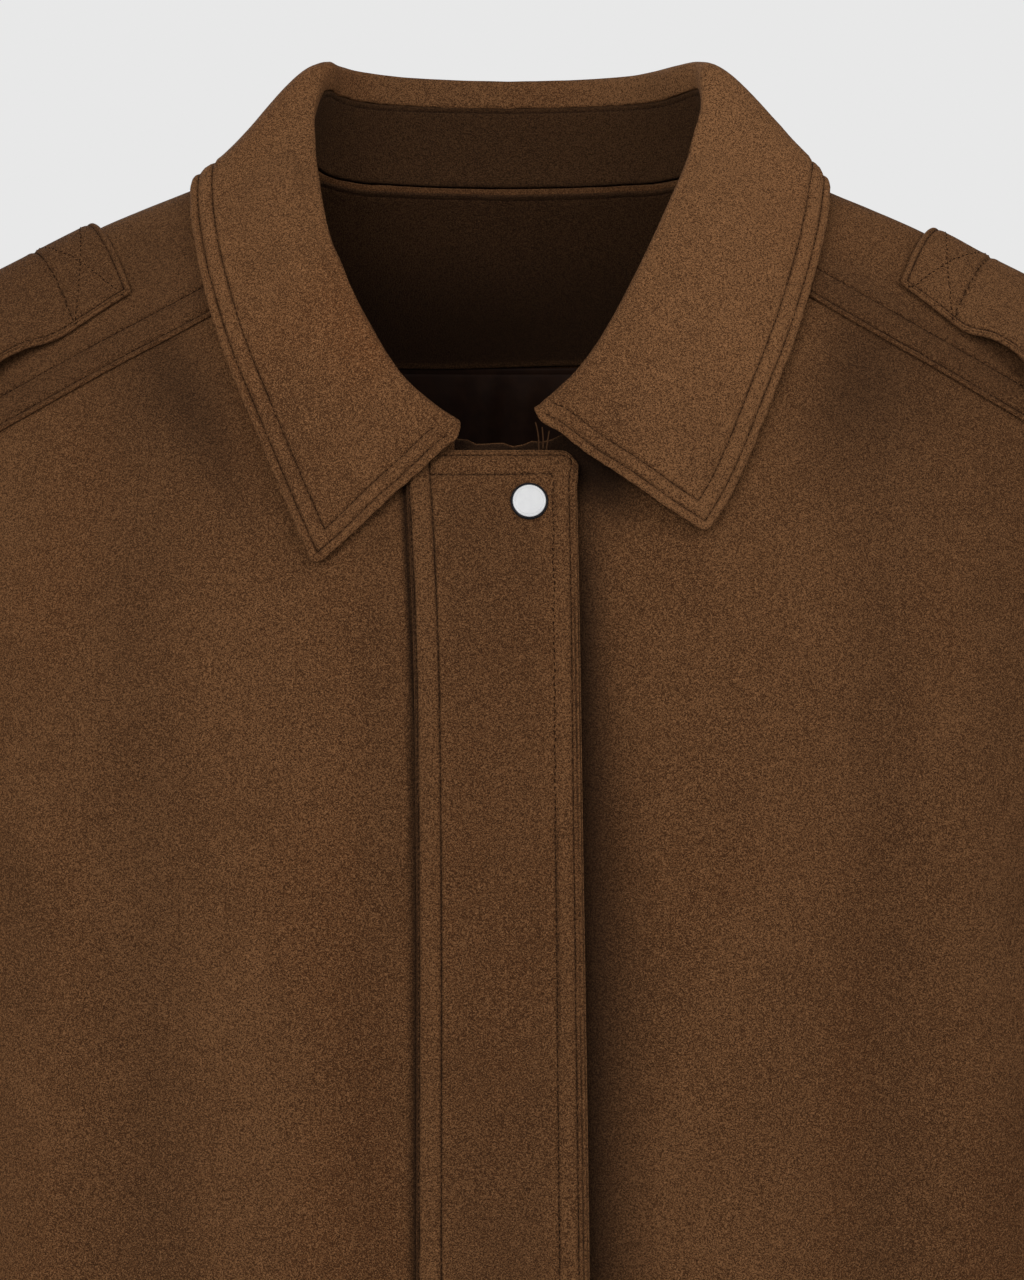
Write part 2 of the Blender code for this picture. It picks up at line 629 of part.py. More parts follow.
def collar_grids():
    """Return the grids of the stand and of the leaf, from the right front end round to the left one."""
    last = len(COLLAR_SHARED) + len(COLLAR_FRONT[RIGHT]) - 1
    stations = np.arange(last + 1)
    right, left = (collar_guides(side, stations) for side in (RIGHT, LEFT))
    neck, fold, edge = (np.concatenate([start[::-1], end[1:]]) for start, end in zip(right, left))
    stand, inner, leaf = collar_sections(neck, fold, edge)
    from_middle = np.abs(leaf[..., 0] - PLACKET_MIDDLE)
    over_placket = smoothstep(leaf[..., 2], *OVER_PLACKET_Z) * smoothstep(from_middle, *OVER_PLACKET_X)
    over_stand = 1 - smoothstep(np.array(LEAF_STEPS), *OVER_STAND)
    placket_lift = over_placket * (PLACKET_CLEARANCE - LEAF_CLEARANCE)
    stand_lift = over_stand * (STAND_CLEARANCE - LEAF_CLEARANCE)
    clearance = LEAF_CLEARANCE + np.maximum(placket_lift, stand_lift)
    leaf[:, 2:] = lift_clear(leaf[:, 2:], clearance[:, 2:])
    leaf = np.concatenate([inner, leaf], axis=1)
    pull_edge(stand, "last_column", STAND_SEAM_PULL)
    pull_edge(leaf, "first_column", STAND_SEAM_PULL)
    return stand, leaf


def placket_grid():
    """Return the grid of the placket, moved out from the right front panel that it lies on."""
    left, right = smooth_curve(PLACKET_SECTIONS, 1), smooth_curve(PLACKET_SECTIONS, 2)
    centre_top = neck_front_z(0.0)
    upper = [BASE_Z + (centre_top - BASE_Z) * share for share in FRONT_ROWS[1:-1]]
    columns = np.array(PLACKET_COLUMNS)
    rows = []
    for z in LOWER_ROWS + tuple(upper) + (PLACKET_TOP,):
        x = left(z) + (right(z) - left(z)) * columns
        rows.append(body_points(x, np.full(len(x), z), FRONT))
    rows[-1] = body_points(rows[-1][:, 0], PLACKET_TOP - np.array(PLACKET_TOP_DROP), FRONT)
    grid = np.array(rows)
    lift = SUEDE / 2 + PLACKET_GAP + PLACKET_WALL / 2
    return grid + grid_normals(grid, from_body_axis) * lift


def strap_grid(side):
    """Return the grid of a shoulder strap, from its inner end to the armhole."""
    across = np.array(STRAP_ACROSS)
    rows = []
    for rear_x, front_x, front_y, rear_gap, front_gap in STRAP_SECTIONS[side]:
        y = np.where(across < 0, -STRAP_REAR_Y, front_y) * across
        share = (STRAP_REAR_Y - y) / (STRAP_REAR_Y - front_y)
        x = rear_x + (front_x - rear_x) * share
        lift = SUEDE / 2 + rear_gap + (front_gap - rear_gap) * share**STRAP_LIFT_BEND + STRAP_WALL / 2
        points = np.stack([side * x, y, shoulder_z(x, y)], axis=-1)
        _, out = body_distance(points + np.array([0, 0, 1.0]))
        rows.append(points + out * lift[:, None])
    return np.array(rows)


def sheet_mesh(name, patches, closed=False):
    """Return a mesh of one or more grids of points, welded where they meet."""
    mesh = bmesh.new()
    for grid in patches:
        vertices = [[mesh.verts.new(point * MM) for point in row] for row in grid]
        rows, columns = len(grid), len(grid[0])
        for row in range(rows - 1):
            lower, upper = vertices[row], vertices[row + 1]
            for column in range(columns if closed else columns - 1):
                after = (column + 1) % columns
                mesh.faces.new((lower[column], lower[after], upper[after], upper[column]))
    bmesh.ops.remove_doubles(mesh, verts=mesh.verts, dist=0.00001)
    bmesh.ops.recalc_face_normals(mesh, faces=mesh.faces)
    bmesh.ops.triangulate(mesh, faces=mesh.faces)
    data = bpy.data.meshes.new(name)
    mesh.to_mesh(data)
    mesh.free()
    return data


def new_collection():
    """Return the collection that holds the jacket."""
    collection = bpy.data.collections.new("suede_jacket")
    bpy.context.scene.collection.children.link(collection)
    return collection


def new_material(name):
    """Return a material with the colour, roughness and metallic value of its row."""
    colour, roughness, metallic = MATERIALS[name]
    material = bpy.data.materials.new(name)
    material.use_nodes = True
    shader = material.node_tree.nodes["Principled BSDF"]
    shader.inputs["Base Color"].default_value = colour
    shader.inputs["Roughness"].default_value = roughness
    shader.inputs["Metallic"].default_value = metallic
    return material


def add_object(name, data, material, collection):
    """Link an object with its own material and return it."""
    piece = bpy.data.objects.new(name, data)
    piece.data.materials.append(material)
    collection.objects.link(piece)
    return piece


def add_cloth(name, patches, wall, material, collection, closed=False):
    """Make a cloth piece: a sheet with a wall half on each side of it."""
    piece = add_object(name, sheet_mesh(name, patches, closed), material, collection)
    solidify = piece.modifiers.new("wall", "SOLIDIFY")
    solidify.thickness = wall * MM
    solidify.offset = 0
    return piece


def add_turned(name, profile, place, axis, material, collection):
    """Make a turned piece from a profile of (radius, height), standing at a place along an axis."""
    mesh = bmesh.new()
    closed = profile[0][0] > 0
    vertices = [mesh.verts.new((radius * MM, 0, height * MM)) for radius, height in profile]
    pairs = list(zip(vertices, vertices[1:] + vertices[:1]))
    for start, end in pairs if closed else pairs[:-1]:
        mesh.edges.new((start, end))
    data = bpy.data.meshes.new(name)
    mesh.to_mesh(data)
    mesh.free()
    piece = add_object(name, data, material, collection)
    turn = Vector((0, 0, 1)).rotation_difference(Vector(axis))
    piece.matrix_world = Matrix.Translation(Vector(place) * MM) @ turn.to_matrix().to_4x4()
    screw = piece.modifiers.new("turn", "SCREW")
    screw.steps = screw.render_steps = SNAP_SIDES
    screw.use_merge_vertices = True
    screw.merge_threshold = 0.00001
    return piece


def build_body(suede, lining, collection):
    """Make the fronts, the back, the neck facing and the half lining."""
    for side, name in SIDE_NAMES.items():
        add_cloth(f"front_{name}", [front_grid(side)], SUEDE, suede[f"front_{name}"], collection)
    back = back_grid()
    patches = [back] + [over_shoulder_grid(side, back) for side in (RIGHT, LEFT)]
    add_cloth("back", patches, SUEDE, suede["back"], collection)

    inward = -grid_normals(back, from_body_axis)
    centre = back.shape[1] // 2
    base_row = len(LOWER_ROWS) - 1
    facing_row = base_row + FACING_ROW
    facing_lift = SUEDE / 2 + LINING_GAP + FACING_WALL / 2
    inside = back + inward * facing_lift
    facing = inside[facing_row:, centre - FACING_COLUMNS : centre + FACING_COLUMNS + 1].copy()
    pull_edge(facing, "first_row", SEAM_PULL)
    pull_edge(facing, "last_row", FACING_SHORT)
    add_cloth("back_neck_facing", [facing], FACING_WALL, suede["back_neck_facing"], collection)

    lining_lift = SUEDE / 2 + LINING_GAP + LINING_WALL / 2
    inside = back + inward * lining_lift
    half_lining = inside[base_row : facing_row + 1, LINING_INSET:-LINING_INSET].copy()
    pull_edge(half_lining, "last_row", LINING_SHORT)
    add_cloth("back_lining", [half_lining], LINING_WALL, lining, collection)


def build_collar(suede, collection):
    """Make the collar stand and the turned-down leaf."""
    stand, leaf = collar_grids()
    add_cloth("collar_stand", [stand], COLLAR_WALL, suede["collar_stand"], collection)
    add_cloth("collar_leaf", [leaf], COLLAR_WALL, suede["collar_leaf"], collection)


def build_snap(materials, collection):
    """Make the cap on the placket, the socket behind it and the stud on the left front."""
    spot = body_points(SNAP_X + np.array([[-1, 0, 1]] * 3), SNAP_Z + np.array([[-1], [0], [1]]), FRONT)
    axis = grid_normals(spot, from_body_axis)[1, 1]
    placket_back = SUEDE / 2 + PLACKET_GAP
    placket_face = placket_back + PLACKET_WALL
    front_face = SUEDE / 2 - UNDERLAP_SINK
    heights = {
        "snap_cap": (CAP_PROFILE, placket_face + LAYER_GAP),
        "snap_socket": (SOCKET_PROFILE, placket_back - LAYER_GAP - SNAP_SLACK - SOCKET_PROFILE[0][1]),
        "snap_stud": (STUD_PROFILE, front_face + LAYER_GAP),
    }
    for name, (profile, height) in heights.items():
        add_turned(name, profile, spot[1, 1] + axis * height, axis, materials[name], collection)


def main():
    """Clear the scene and build the jacket."""
    for old in list(bpy.data.objects):
        bpy.data.objects.remove(old)
    collection = new_collection()
    suede_pieces = (
        "front_right", "front_left", "back", "back_neck_facing", "collar_stand", "collar_leaf", "placket",
        "sleeve_right", "sleeve_left", "epaulette_right", "epaulette_left",
    )
    suede = {}
    for piece in suede_pieces:
        suede[piece] = new_material("suede")
        suede[piece].name = f"{piece}_suede"
    build_body(suede, new_material("lining"), collection)
    build_collar(suede, collection)
    add_cloth("placket", [placket_grid()], PLACKET_WALL, suede["placket"], collection)
    for side, name in SIDE_NAMES.items():
        sleeve, strap = f"sleeve_{name}", f"epaulette_{name}"
        add_cloth(sleeve, [sleeve_grid(side)], SUEDE, suede[sleeve], collection, closed=True)
        add_cloth(strap, [strap_grid(side)], STRAP_WALL, suede[strap], collection)
    snap = {
        "snap_cap": new_material("enamel"),
        "snap_socket": new_material("steel"),
        "snap_stud": new_material("steel"),
    }
    build_snap(snap, collection)


main()
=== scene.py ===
"""Suede jacket: the finished cloth, stitching and fittings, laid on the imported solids.

Lengths are in millimetres and become metres where meshes are made. The jacket faces -Y, +Z is up and +X is
the wearer's left. Each cloth piece is a thin shell on the form that its solid has, with its own seams,
creases and rows of stitches.
"""

import logging
import math
from dataclasses import dataclass, field
from enum import Enum, IntEnum
from itertools import product

import bpy
import numpy as np
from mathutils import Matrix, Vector


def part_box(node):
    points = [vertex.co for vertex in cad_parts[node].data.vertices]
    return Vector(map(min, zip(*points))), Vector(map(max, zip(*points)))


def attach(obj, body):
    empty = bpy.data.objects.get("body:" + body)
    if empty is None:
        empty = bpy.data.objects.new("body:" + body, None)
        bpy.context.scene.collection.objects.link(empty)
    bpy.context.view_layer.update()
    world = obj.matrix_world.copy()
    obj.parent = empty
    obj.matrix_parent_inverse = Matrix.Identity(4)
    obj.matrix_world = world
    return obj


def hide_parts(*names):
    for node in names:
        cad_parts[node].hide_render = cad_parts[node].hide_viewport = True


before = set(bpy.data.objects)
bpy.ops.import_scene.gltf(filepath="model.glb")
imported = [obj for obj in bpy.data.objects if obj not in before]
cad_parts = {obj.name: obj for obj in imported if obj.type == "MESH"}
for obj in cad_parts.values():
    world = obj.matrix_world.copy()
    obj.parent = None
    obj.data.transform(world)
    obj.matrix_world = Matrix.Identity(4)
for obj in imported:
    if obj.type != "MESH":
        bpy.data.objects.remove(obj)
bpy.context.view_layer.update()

LOG = logging.getLogger("suede_jacket")
Array = np.ndarray
Row = tuple[float, ...]
Material = bpy.types.Material
Piece = bpy.types.Object
Socket = bpy.types.NodeSocket
Tree = bpy.types.NodeTree

MM = 0.001
LUMP_COUNT = 4096
LUMP_STRIDES = np.array([73.0, 179.0, 283.0])
BODY_NAME = "root"


class Side(IntEnum):
    """The wearer's side, as the sign of x."""

    RIGHT = -1
    LEFT = 1


class Face(IntEnum):
    """The front or back of the body, as the sign of y."""

    FRONT = -1
    BACK = 1


class Edge(Enum):
    """An edge of a grid of cloth."""

    FIRST_ROW = "first_row"
    LAST_ROW = "last_row"
    FIRST_COLUMN = "first_column"
    LAST_COLUMN = "last_column"


class Slot(Enum):
    """Material slots for the pieces' finishes."""

    SUEDE = "suede"
    LINING = "lining"
    WHITE = "snap_white"
    STEEL = "snap_steel"


# ----------------------------------------------------------------------------------------------- small tools


def smoothstep(value: Array | float, low: float, high: float) -> Array:
    """Return a value eased from 0 at low to 1 at high."""
    t = np.clip((np.asarray(value, float) - low) / (high - low), 0, 1)
    return t * t * (3 - 2 * t)


def unit(vectors: Array) -> Array:
    """Return the vectors at length 1."""
    return vectors / np.maximum(np.linalg.norm(vectors, axis=-1, keepdims=True), 1e-12)


def bump_at(distance: Array | float, width: float) -> Array:
    """Return a soft bump, 1 at distance 0."""
    return np.exp(-((np.asarray(distance) / width) ** 2))


def bezier(p0: Array, p1: Array, p2: Array, p3: Array, share: float) -> Array:
    """Return a point on each of many cubic curves."""
    rest = 1 - share
    return p0 * rest**3 + 3 * p1 * share * rest**2 + 3 * p2 * share**2 * rest + p3 * share**3


def lumps(points: Array, size: float, seed: int) -> Array:
    """Make soft uneven heights that run smoothly over points.

    Args:
        points: Points in millimetres.
        size: The size of a lump.
        seed: Which set of lumps.

    Returns:
        A height from -1 to 1 at each point.
    """
    table = np.random.default_rng(seed).uniform(-1, 1, LUMP_COUNT)
    base = np.floor(points / size)
    share = points / size - base
    share = share * share * (3 - 2 * share)
    total = np.zeros(points.shape[:-1])
    for corner in product((0, 1), repeat=3):
        index = ((base + np.array(corner)) @ LUMP_STRIDES).astype(np.int64) % LUMP_COUNT
        total += table[index] * np.prod(np.where(corner, share, 1 - share), axis=-1)
    return total


def uneven(points: Array, *layers: Row) -> Array:
    """Return soft unevenness in layers, each given by its height, its size and its seed."""
    return sum(height * lumps(points, size, seed) for height, size, seed in layers)


@dataclass(frozen=True)
class Curve:
    """A smooth curve through values at knots. A value is a number or an array."""

    knots: Array
    values: Array

    @classmethod
    def through(cls, rows: tuple[Row, ...], column: int, key: int = 0) -> "Curve":
        """Return the curve of one column of a table against its key column."""
        table = np.array(rows, float)
        return cls(table[:, key], table[:, column])

    def __call__(self, place: Array | float) -> Array:
        """Read the curve.

        Args:
            place: Where to read it. Places past its ends read its ends.

        Returns:
            The value at each place.
        """
        slopes = np.gradient(self.values, self.knots, axis=0)
        place = np.clip(np.asarray(place, float), self.knots[0], self.knots[-1])
        low = np.clip(np.searchsorted(self.knots, place, side="right") - 1, 0, len(self.knots) - 2)
        step = self.knots[low + 1] - self.knots[low]
        t = (place - self.knots[low]) / step
        more = (1,) * (self.values.ndim - 1)
        t, step = t.reshape(t.shape + more), step.reshape(step.shape + more)
        start = self.values[low] * (1 + 2 * t) * (1 - t) ** 2 + slopes[low] * step * t * (1 - t) ** 2
        end = self.values[low + 1] * t * t * (3 - 2 * t) - slopes[low + 1] * step * t * t * (1 - t)
        return start + end


def curves_of(rows: tuple[Row, ...]) -> list[Curve]:
    """Return a curve of each column of a table, against the row's number."""
    return [Curve(np.arange(len(rows), dtype=float), np.array(column, float)) for column in zip(*rows)]


# ------------------------------------------------------------------------------------------- the body's form


@dataclass(frozen=True)
class Drape:
    """A soft vertical fold that the body hangs in."""

    face: Face
    x: float
    half_width: float
    depth: float
    top: float
    full: float

    def out(self, x: Array, z: Array) -> Array:
        """Return how far this fold stands out at x and z."""
        return self.depth * bump_at(x - self.x, self.half_width) * smoothstep(z, self.top, self.full)


@dataclass
class BodyForm:
    """The hollow form that the body of the jacket keeps when it is worn."""

    base_z: float = -290.0
    hem_z: float = -660.0
    squareness: float = 2.8
    neck_half_width: float = 88.0
    slope: float = 0.42
    rounding: float = 40.0
    armhole_x: float = 236.0
    drop_from: float = 160.0
    drop: float = 0.0019
    rise_ease: float = 0.06
    ridge_ease: float = 0.04
    scoop_top: float = -225.0
    seam_station: float = 125.0
    rings: tuple[Row, ...] = (
        # z, half_width, front_depth, back_depth
        (-660, 256, 121, 118),
        (-560, 254, 122, 118),
        (-430, 250, 122, 118),
        (-345, 248, 121, 122),
        (-290, 248, 120, 128),
        (-235, 248, 120, 122),
    )
    fullness: tuple[Row, ...] = (
        # x, front, back
        (0, 0.60, 0.50),
        (88, 0.66, 0.58),
        (158, 0.72, 0.64),
        (236, 0.70, 0.66),
    )
    neck_back: tuple[Row, ...] = ((0, -12.5), (50, -12), (70, -11), (81, -8), (86.5, -3.4), (88, 0))
    neck_front: tuple[Row, ...] = (
        (88, 0), (87.6, -12), (86, -26), (81.5, -50), (75, -70), (66, -89), (54, -106), (38, -119),
        (20, -126.5), (0, -128),
    )
    seams: dict[Side, tuple[float, float]] = field(
        # the forward shoulder seam's height at its station, and how steeply it falls
        default_factory=lambda: {Side.RIGHT: (-76.0, 0.541), Side.LEFT: (-66.4, 0.573)}
    )
    drapes: tuple[Drape, ...] = (
        Drape(Face.FRONT, -95, 30, 4.0, -185, -330),
        Drape(Face.FRONT, -148, 22, -4.0, -200, -400),
        Drape(Face.FRONT, -192, 20, 3.0, -220, -420),
        Drape(Face.FRONT, -54, 17, -2.5, -200, -330),
        Drape(Face.FRONT, 104, 30, 4.5, -190, -340),
        Drape(Face.FRONT, 152, 22, -4.5, -170, -380),
        Drape(Face.FRONT, 196, 20, 3.0, -210, -450),
        Drape(Face.BACK, -150, 26, 3.5, -190, -420),
        Drape(Face.BACK, -88, 24, -4.0, -150, -380),
        Drape(Face.BACK, -30, 28, 4.0, -230, -460),
        Drape(Face.BACK, 36, 24, -3.5, -200, -400),
        Drape(Face.BACK, 98, 28, 4.5, -170, -420),
        Drape(Face.BACK, 165, 22, -3.5, -220, -430),
    )

    def __post_init__(self) -> None:
        """Make the curves of the tables."""
        self.half_width = Curve.through(self.rings, 1)
        self.depth = {Face.FRONT: Curve.through(self.rings, 2), Face.BACK: Curve.through(self.rings, 3)}
        self.full = {Face.FRONT: Curve.through(self.fullness, 1), Face.BACK: Curve.through(self.fullness, 2)}
        self.neck_back_curve = Curve.through(self.neck_back, 1)
        self.neck_front_curve = Curve.through(self.neck_front[::-1], 1)
        self.neck_front_across = Curve.through(self.neck_front[::-1], 0, key=1)

    def ring_depth(self, x: Array, z: Array | float, face: Face) -> Array:
        """Return how deep the ring at height z is at a place across it."""
        across = np.clip(np.abs(x) / self.half_width(z), 0, 1)
        return self.depth[face](z) * (1 - across**self.squareness) ** (1 / self.squareness)

    def arch_rise(self, rise: Array) -> Array:
        """Return how far the arch has closed at a share of the way up to the ridge."""
        return rise**2 * ((1 + self.rise_ease) / (rise + self.rise_ease)) ** 0.5

    def arch_reach(self, share: Array, fullness: Array) -> Array:
        """Return how far the arch reaches from the ridge where this share of it is open."""
        ease = (share + self.ridge_ease) / (1 + self.ridge_ease)
        return share**0.5 * ease ** (fullness - 0.5)

    def arch_share(self, reach: Array, fullness: Array) -> Array:
        """Find the open share of the arch: arch_reach the other way about.

        Args:
            reach: How far the arch reaches, as a share of the ring's depth.
            fullness: How full it is there.

        Returns:
            The open share.
        """
        share = reach ** (1 / fullness)
        for _ in range(14):
            ease = (1 + self.ridge_ease) / (share + self.ridge_ease)
            share = (share + (reach * ease ** (fullness - 0.5)) ** 2) / 2
        return share

    def ridge_z(self, x: Array | float) -> Array:
        """Return the height of the shoulder ridge."""
        fall = np.hypot(x, self.rounding) - math.hypot(self.neck_half_width, self.rounding)
        return -self.slope * fall - self.drop * np.maximum(0, np.abs(x) - self.drop_from) ** 2

    def drape(self, x: Array, z: Array, face: Face) -> Array:
        """Return how far the soft folds stand out."""
        return np.sum([drape.out(x, z) for drape in self.drapes if drape.face == face], axis=0)

    def body_y(self, x: Array, z: Array, face: Face) -> Array:
        """Find the front or the back of the body, folds and all.

        Args:
            x: Places across it.
            z: Their heights.
            face: The front or the back.

        Returns:
            The y of each place.
        """
        rise = np.clip((z - self.base_z) / (self.ridge_z(x) - self.base_z), 0, 1)
        arch = self.arch_reach(1 - self.arch_rise(rise), self.full[face](np.abs(x)))
        ring = self.ring_depth(x, np.minimum(z, self.base_z), face)
        return face * (ring * arch + self.drape(x, z, face))

    def points(self, x: Array | float, z: Array | float, face: Face) -> Array:
        """Return points on the body at x and z."""
        x, z = np.broadcast_arrays(np.asarray(x, float), np.asarray(z, float))
        return np.stack([x, self.body_y(x, z, face), z], axis=-1)

    def outward(self, grid: Array) -> Array:
        """Return vectors from the middle of the chest to points on the body."""
        return grid - np.array([0, 0, self.base_z])

    def open_share(self, x: Array, y: Array) -> Array:
        """Read how far the arch of the shoulders is open over places in plan.

        Args:
            x: The places across the body.
            y: The places from front to back.

        Returns:
            The open share of the arch that reaches there.
        """
        reach = np.where(y < 0, *(self.ring_depth(x, self.base_z, face) for face in Face))
        fullness = np.where(y < 0, *(self.full[face](np.abs(x)) for face in Face))
        return self.arch_share(np.abs(y) / reach, fullness)

    def shoulder_z(self, x: Array, y: Array) -> Array:
        """Find the shoulder above places in plan.

        Args:
            x: The places across the body.
            y: The places from front to back.

        Returns:
            The height of each.
        """
        rises = np.linspace(0, 1, 1600)
        rise = np.interp(1 - self.open_share(x, y), self.arch_rise(rises), rises)
        return self.base_z + (self.ridge_z(x) - self.base_z) * rise

    def neck_back_z(self, x: Array) -> Array:
        """Return the height of the neckline's back half."""
        return self.neck_back_curve(np.abs(x))

    def neck_front_z(self, x: Array) -> Array:
        """Return the height of the neckline's front half."""
        return self.neck_front_curve(np.abs(x))

    def seam_z(self, side: Side, x: Array) -> Array:
        """Return the height of the forward shoulder seam at a distance x from the centre."""
        height, fall = self.seams[side]
        return height - fall * (x - self.seam_station)

    def seam_corner(self, side: Side) -> float:
        """Return how far from the centre the forward shoulder seam meets the neckline."""
        x = np.linspace(70, self.neck_half_width, 400)
        return float(x[np.argmin(np.abs(self.neck_front_z(x) - self.seam_z(side, x)))])

    def over_ridge_z(self, side: Side, x: Array, share: float) -> Array:
        """Return the height a share of the way from the ridge to the forward shoulder seam."""
        return self.ridge_z(x) - share * (self.ridge_z(x) - self.seam_z(side, x))

    def level(self, points: Array) -> Array:
        """Compare points with the surface of the shoulders and chest.

        Args:
            points: The points.

        Returns:
            1 for a point on the surface, more outside it and less inside.
        """
        x, y, z = np.moveaxis(points, -1, 0)
        rise = np.maximum(0, (z - self.base_z) / (self.ridge_z(x) - self.base_z))
        return self.open_share(x, y) + self.arch_rise(rise)

    def distance(self, points: Array) -> tuple[Array, Array]:
        """Measure points against the shoulders and chest.

        Args:
            points: The points.

        Returns:
            How far each lies outside, and which way is out.
        """
        step = 0.5
        slope = np.zeros(points.shape)
        for axis in range(3):
            shift = np.zeros(3)
            shift[axis] = step
            slope[..., axis] = (self.level(points + shift) - self.level(points - shift)) / (2 * step)
        steepness = np.linalg.norm(slope, axis=-1)
        return (self.level(points) - 1) / steepness, slope / steepness[..., None]

    def settle(self, points: Array, lift: Array | float, only_out: bool = False) -> Array:
        """Move points to a height above the shoulders and chest.

        Args:
            points: The points.
            lift: The height.
            only_out: Whether points that are already higher stay there.

        Returns:
            The moved points.
        """
        for _ in range(4):
            distance, out = self.distance(points)
            short = np.maximum(0, lift - distance) if only_out else lift - distance
            points = points + out * short[..., None]
        return points

    def scoop(self, face: Face, turn: Array) -> tuple[Array, Array]:
        """Follow the armhole under the arm.

        Args:
            face: The front or the back half.
            turn: Degrees, from 90 at the side seam to 0 at the top of the scoop.

        Returns:
            The x and z of each point.
        """
        top_y = abs(self.body_y(np.array(self.armhole_x), np.array(self.scoop_top), face))
        angle = np.radians(turn)
        z = self.scoop_top - (self.scoop_top - self.base_z) * np.sin(angle)
        rise = (z - self.base_z) / (self.ridge_z(self.armhole_x) - self.base_z)
        arch = self.arch_reach(1 - self.arch_rise(rise), self.full[face](self.armhole_x))
        share = np.clip(top_y * np.cos(angle) / arch / self.depth[face](self.base_z), 0, 1)
        x = self.half_width(self.base_z) * (1 - share**self.squareness) ** (1 / self.squareness)
        return x, z


BODY = BodyForm()


# ---------------------------------------------------------------------------------------- grids of the cloth

EDGE_MARKS = (0.12, 0.35, 0.7, 1.15, 1.8)
ROW_MARKS = (-1.3, -0.75, -0.35, 0.0, 0.35, 0.75, 1.3)
CLOSEST = 0.11


@dataclass(frozen=True)
class Spacing:
    """Where grid lines lie along a stretch: every step, and closer at free edges and rows of stitches."""

    step: float
    start: Row = ()
    end: Row = ()
    start_free: bool = True
    end_free: bool = True

    def marks(self, rows: Row, free: bool) -> Array:
        """Place the lines near one end.

        Args:
            rows: Distances of the rows of stitches from that end.
            free: Whether the end is a rounded edge.

        Returns:
            Distances from that end.
        """
        wanted = set(EDGE_MARKS if free else ())
        for row in rows:
            wanted |= {row + offset for offset in ROW_MARKS}
        kept = [0.0]
        for place in sorted(wanted):
            last = kept[-1]
            if place - last >= CLOSEST:
                count = math.ceil((place - last) / (self.step * 1.05))
                kept.extend(last + (place - last) * (index + 1) / count for index in range(count))
        return np.array(kept)

    def places(self, totals: Array) -> Array:
        """Place every line along stretches of some lengths.

        Args:
            totals: The length of each stretch.

        Returns:
            Distances from the start, one row for each line and one column for each stretch.
        """
        start, end = self.marks(self.start, self.start_free), self.marks(self.end, self.end_free)[::-1]
        middle = totals - start[-1] - end[0]
        count = max(2, math.ceil(float(middle.max()) / self.step))
        shares = np.linspace(0, 1, count + 1)[1:-1]
        head = np.repeat(start[:, None], len(totals), axis=1)
        return np.concatenate([head, start[-1] + shares[:, None] * middle, totals - end[:, None]])


def lengths_along(grid: Array, axis: int) -> Array:
    """Measure how far each grid point is from the first one, along an axis of the grid.

    Args:
        grid: The grid.
        axis: Its axis that is followed.

    Returns:
        The lengths.
    """
    steps = np.linalg.norm(np.diff(grid, axis=axis), axis=-1)
    start = np.zeros_like(np.take(steps, [0], axis=axis))
    return np.concatenate([start, np.cumsum(steps, axis=axis)], axis=axis)


def respace(grid: Array, axis: int, spacing: Spacing) -> Array:
    """Lay the lines of a grid at new places along it.

    Args:
        grid: A close grid of points.
        axis: 0 to move the rows, or 1 the columns.
        spacing: Where the new lines lie.

    Returns:
        The new grid.
    """
    lines = np.moveaxis(grid, axis, 0)
    far = lengths_along(lines, 0)
    places = spacing.places(far[-1])
    made = np.empty((len(places), lines.shape[1], 3))
    for column in range(lines.shape[1]):
        for part in range(3):
            made[:, column, part] = np.interp(places[:, column], far[:, column], lines[:, column, part])
    return np.moveaxis(made, 0, axis)


def joined(first: Array, second: Array, axis: int) -> Array:
    """Return two grids as one, where the first's last line is the second's first line."""
    rest = np.take(second, range(1, second.shape[axis]), axis=axis)
    return np.concatenate([first, rest], axis=axis)


def read_line(place: Array, far: Array, values: Array) -> Array:
    """Return a line's points at places along it, where far is how far along each of its values lies."""
    return np.stack([np.interp(place, far, values[:, part]) for part in range(3)], axis=-1)


def grid_normals(grid: Array, outside: Array, closed: bool = False) -> Array:
    """Find which way is out at each point of a grid.

    Args:
        grid: The points.
        outside: A vector to the outer side at each point.
        closed: Whether the columns run round a tube.

    Returns:
        Unit normals.
    """
    around = np.concatenate([grid[:, -1:], grid, grid[:, :1]], axis=1) if closed else grid
    across = np.gradient(around, axis=1)
    across = across[:, 1:-1] if closed else across
    normals = unit(np.cross(across, np.gradient(grid, axis=0)))
    return normals * np.where(np.sum(normals * outside, axis=-1, keepdims=True) < 0, -1, 1)


@dataclass(frozen=True)
class Crease:
    """A soft crease along a line on a piece of cloth, with a shallow dip on one side of it."""

    start: tuple[float, float]
    end: tuple[float, float]
    width: float
    height: float
    bend: float = 0.0
    fades: Row = (-0.1, 0.35, 0.6, 1.1)  # shares of its length: it rises from and to, then fades from and to
    flare: float = 0.5  # how much wider its far end is
    dip: Row = (1.7, 0.45)  # how many widths aside the dip lies, and how deep it is against the crease

    def out(self, across: Array, along: Array) -> Array:
        """Read how far the crease stands out.

        Args:
            across: The place across the piece.
            along: The place along it.

        Returns:
            The height there.
        """
        start, end = np.array(self.start), np.array(self.end)
        length = float(np.linalg.norm(end - start))
        way = (end - start) / length
        share = ((across - start[0]) * way[0] + (along - start[1]) * way[1]) / length
        off = (along - start[1]) * way[0] - (across - start[0]) * way[1]
        off = off - self.bend * 4 * share * (1 - share)
        fade = smoothstep(share, *self.fades[:2]) * (1 - smoothstep(share, *self.fades[2:]))
        width = self.width * (1 + self.flare * share)
        aside, depth = self.dip
        return self.height * fade * (bump_at(off, width) - depth * bump_at(off - aside * width, width))


@dataclass(frozen=True)
class Stitches:
    """Points along a row of stitches, and which way is out at each."""

    points: Array
    normals: Array


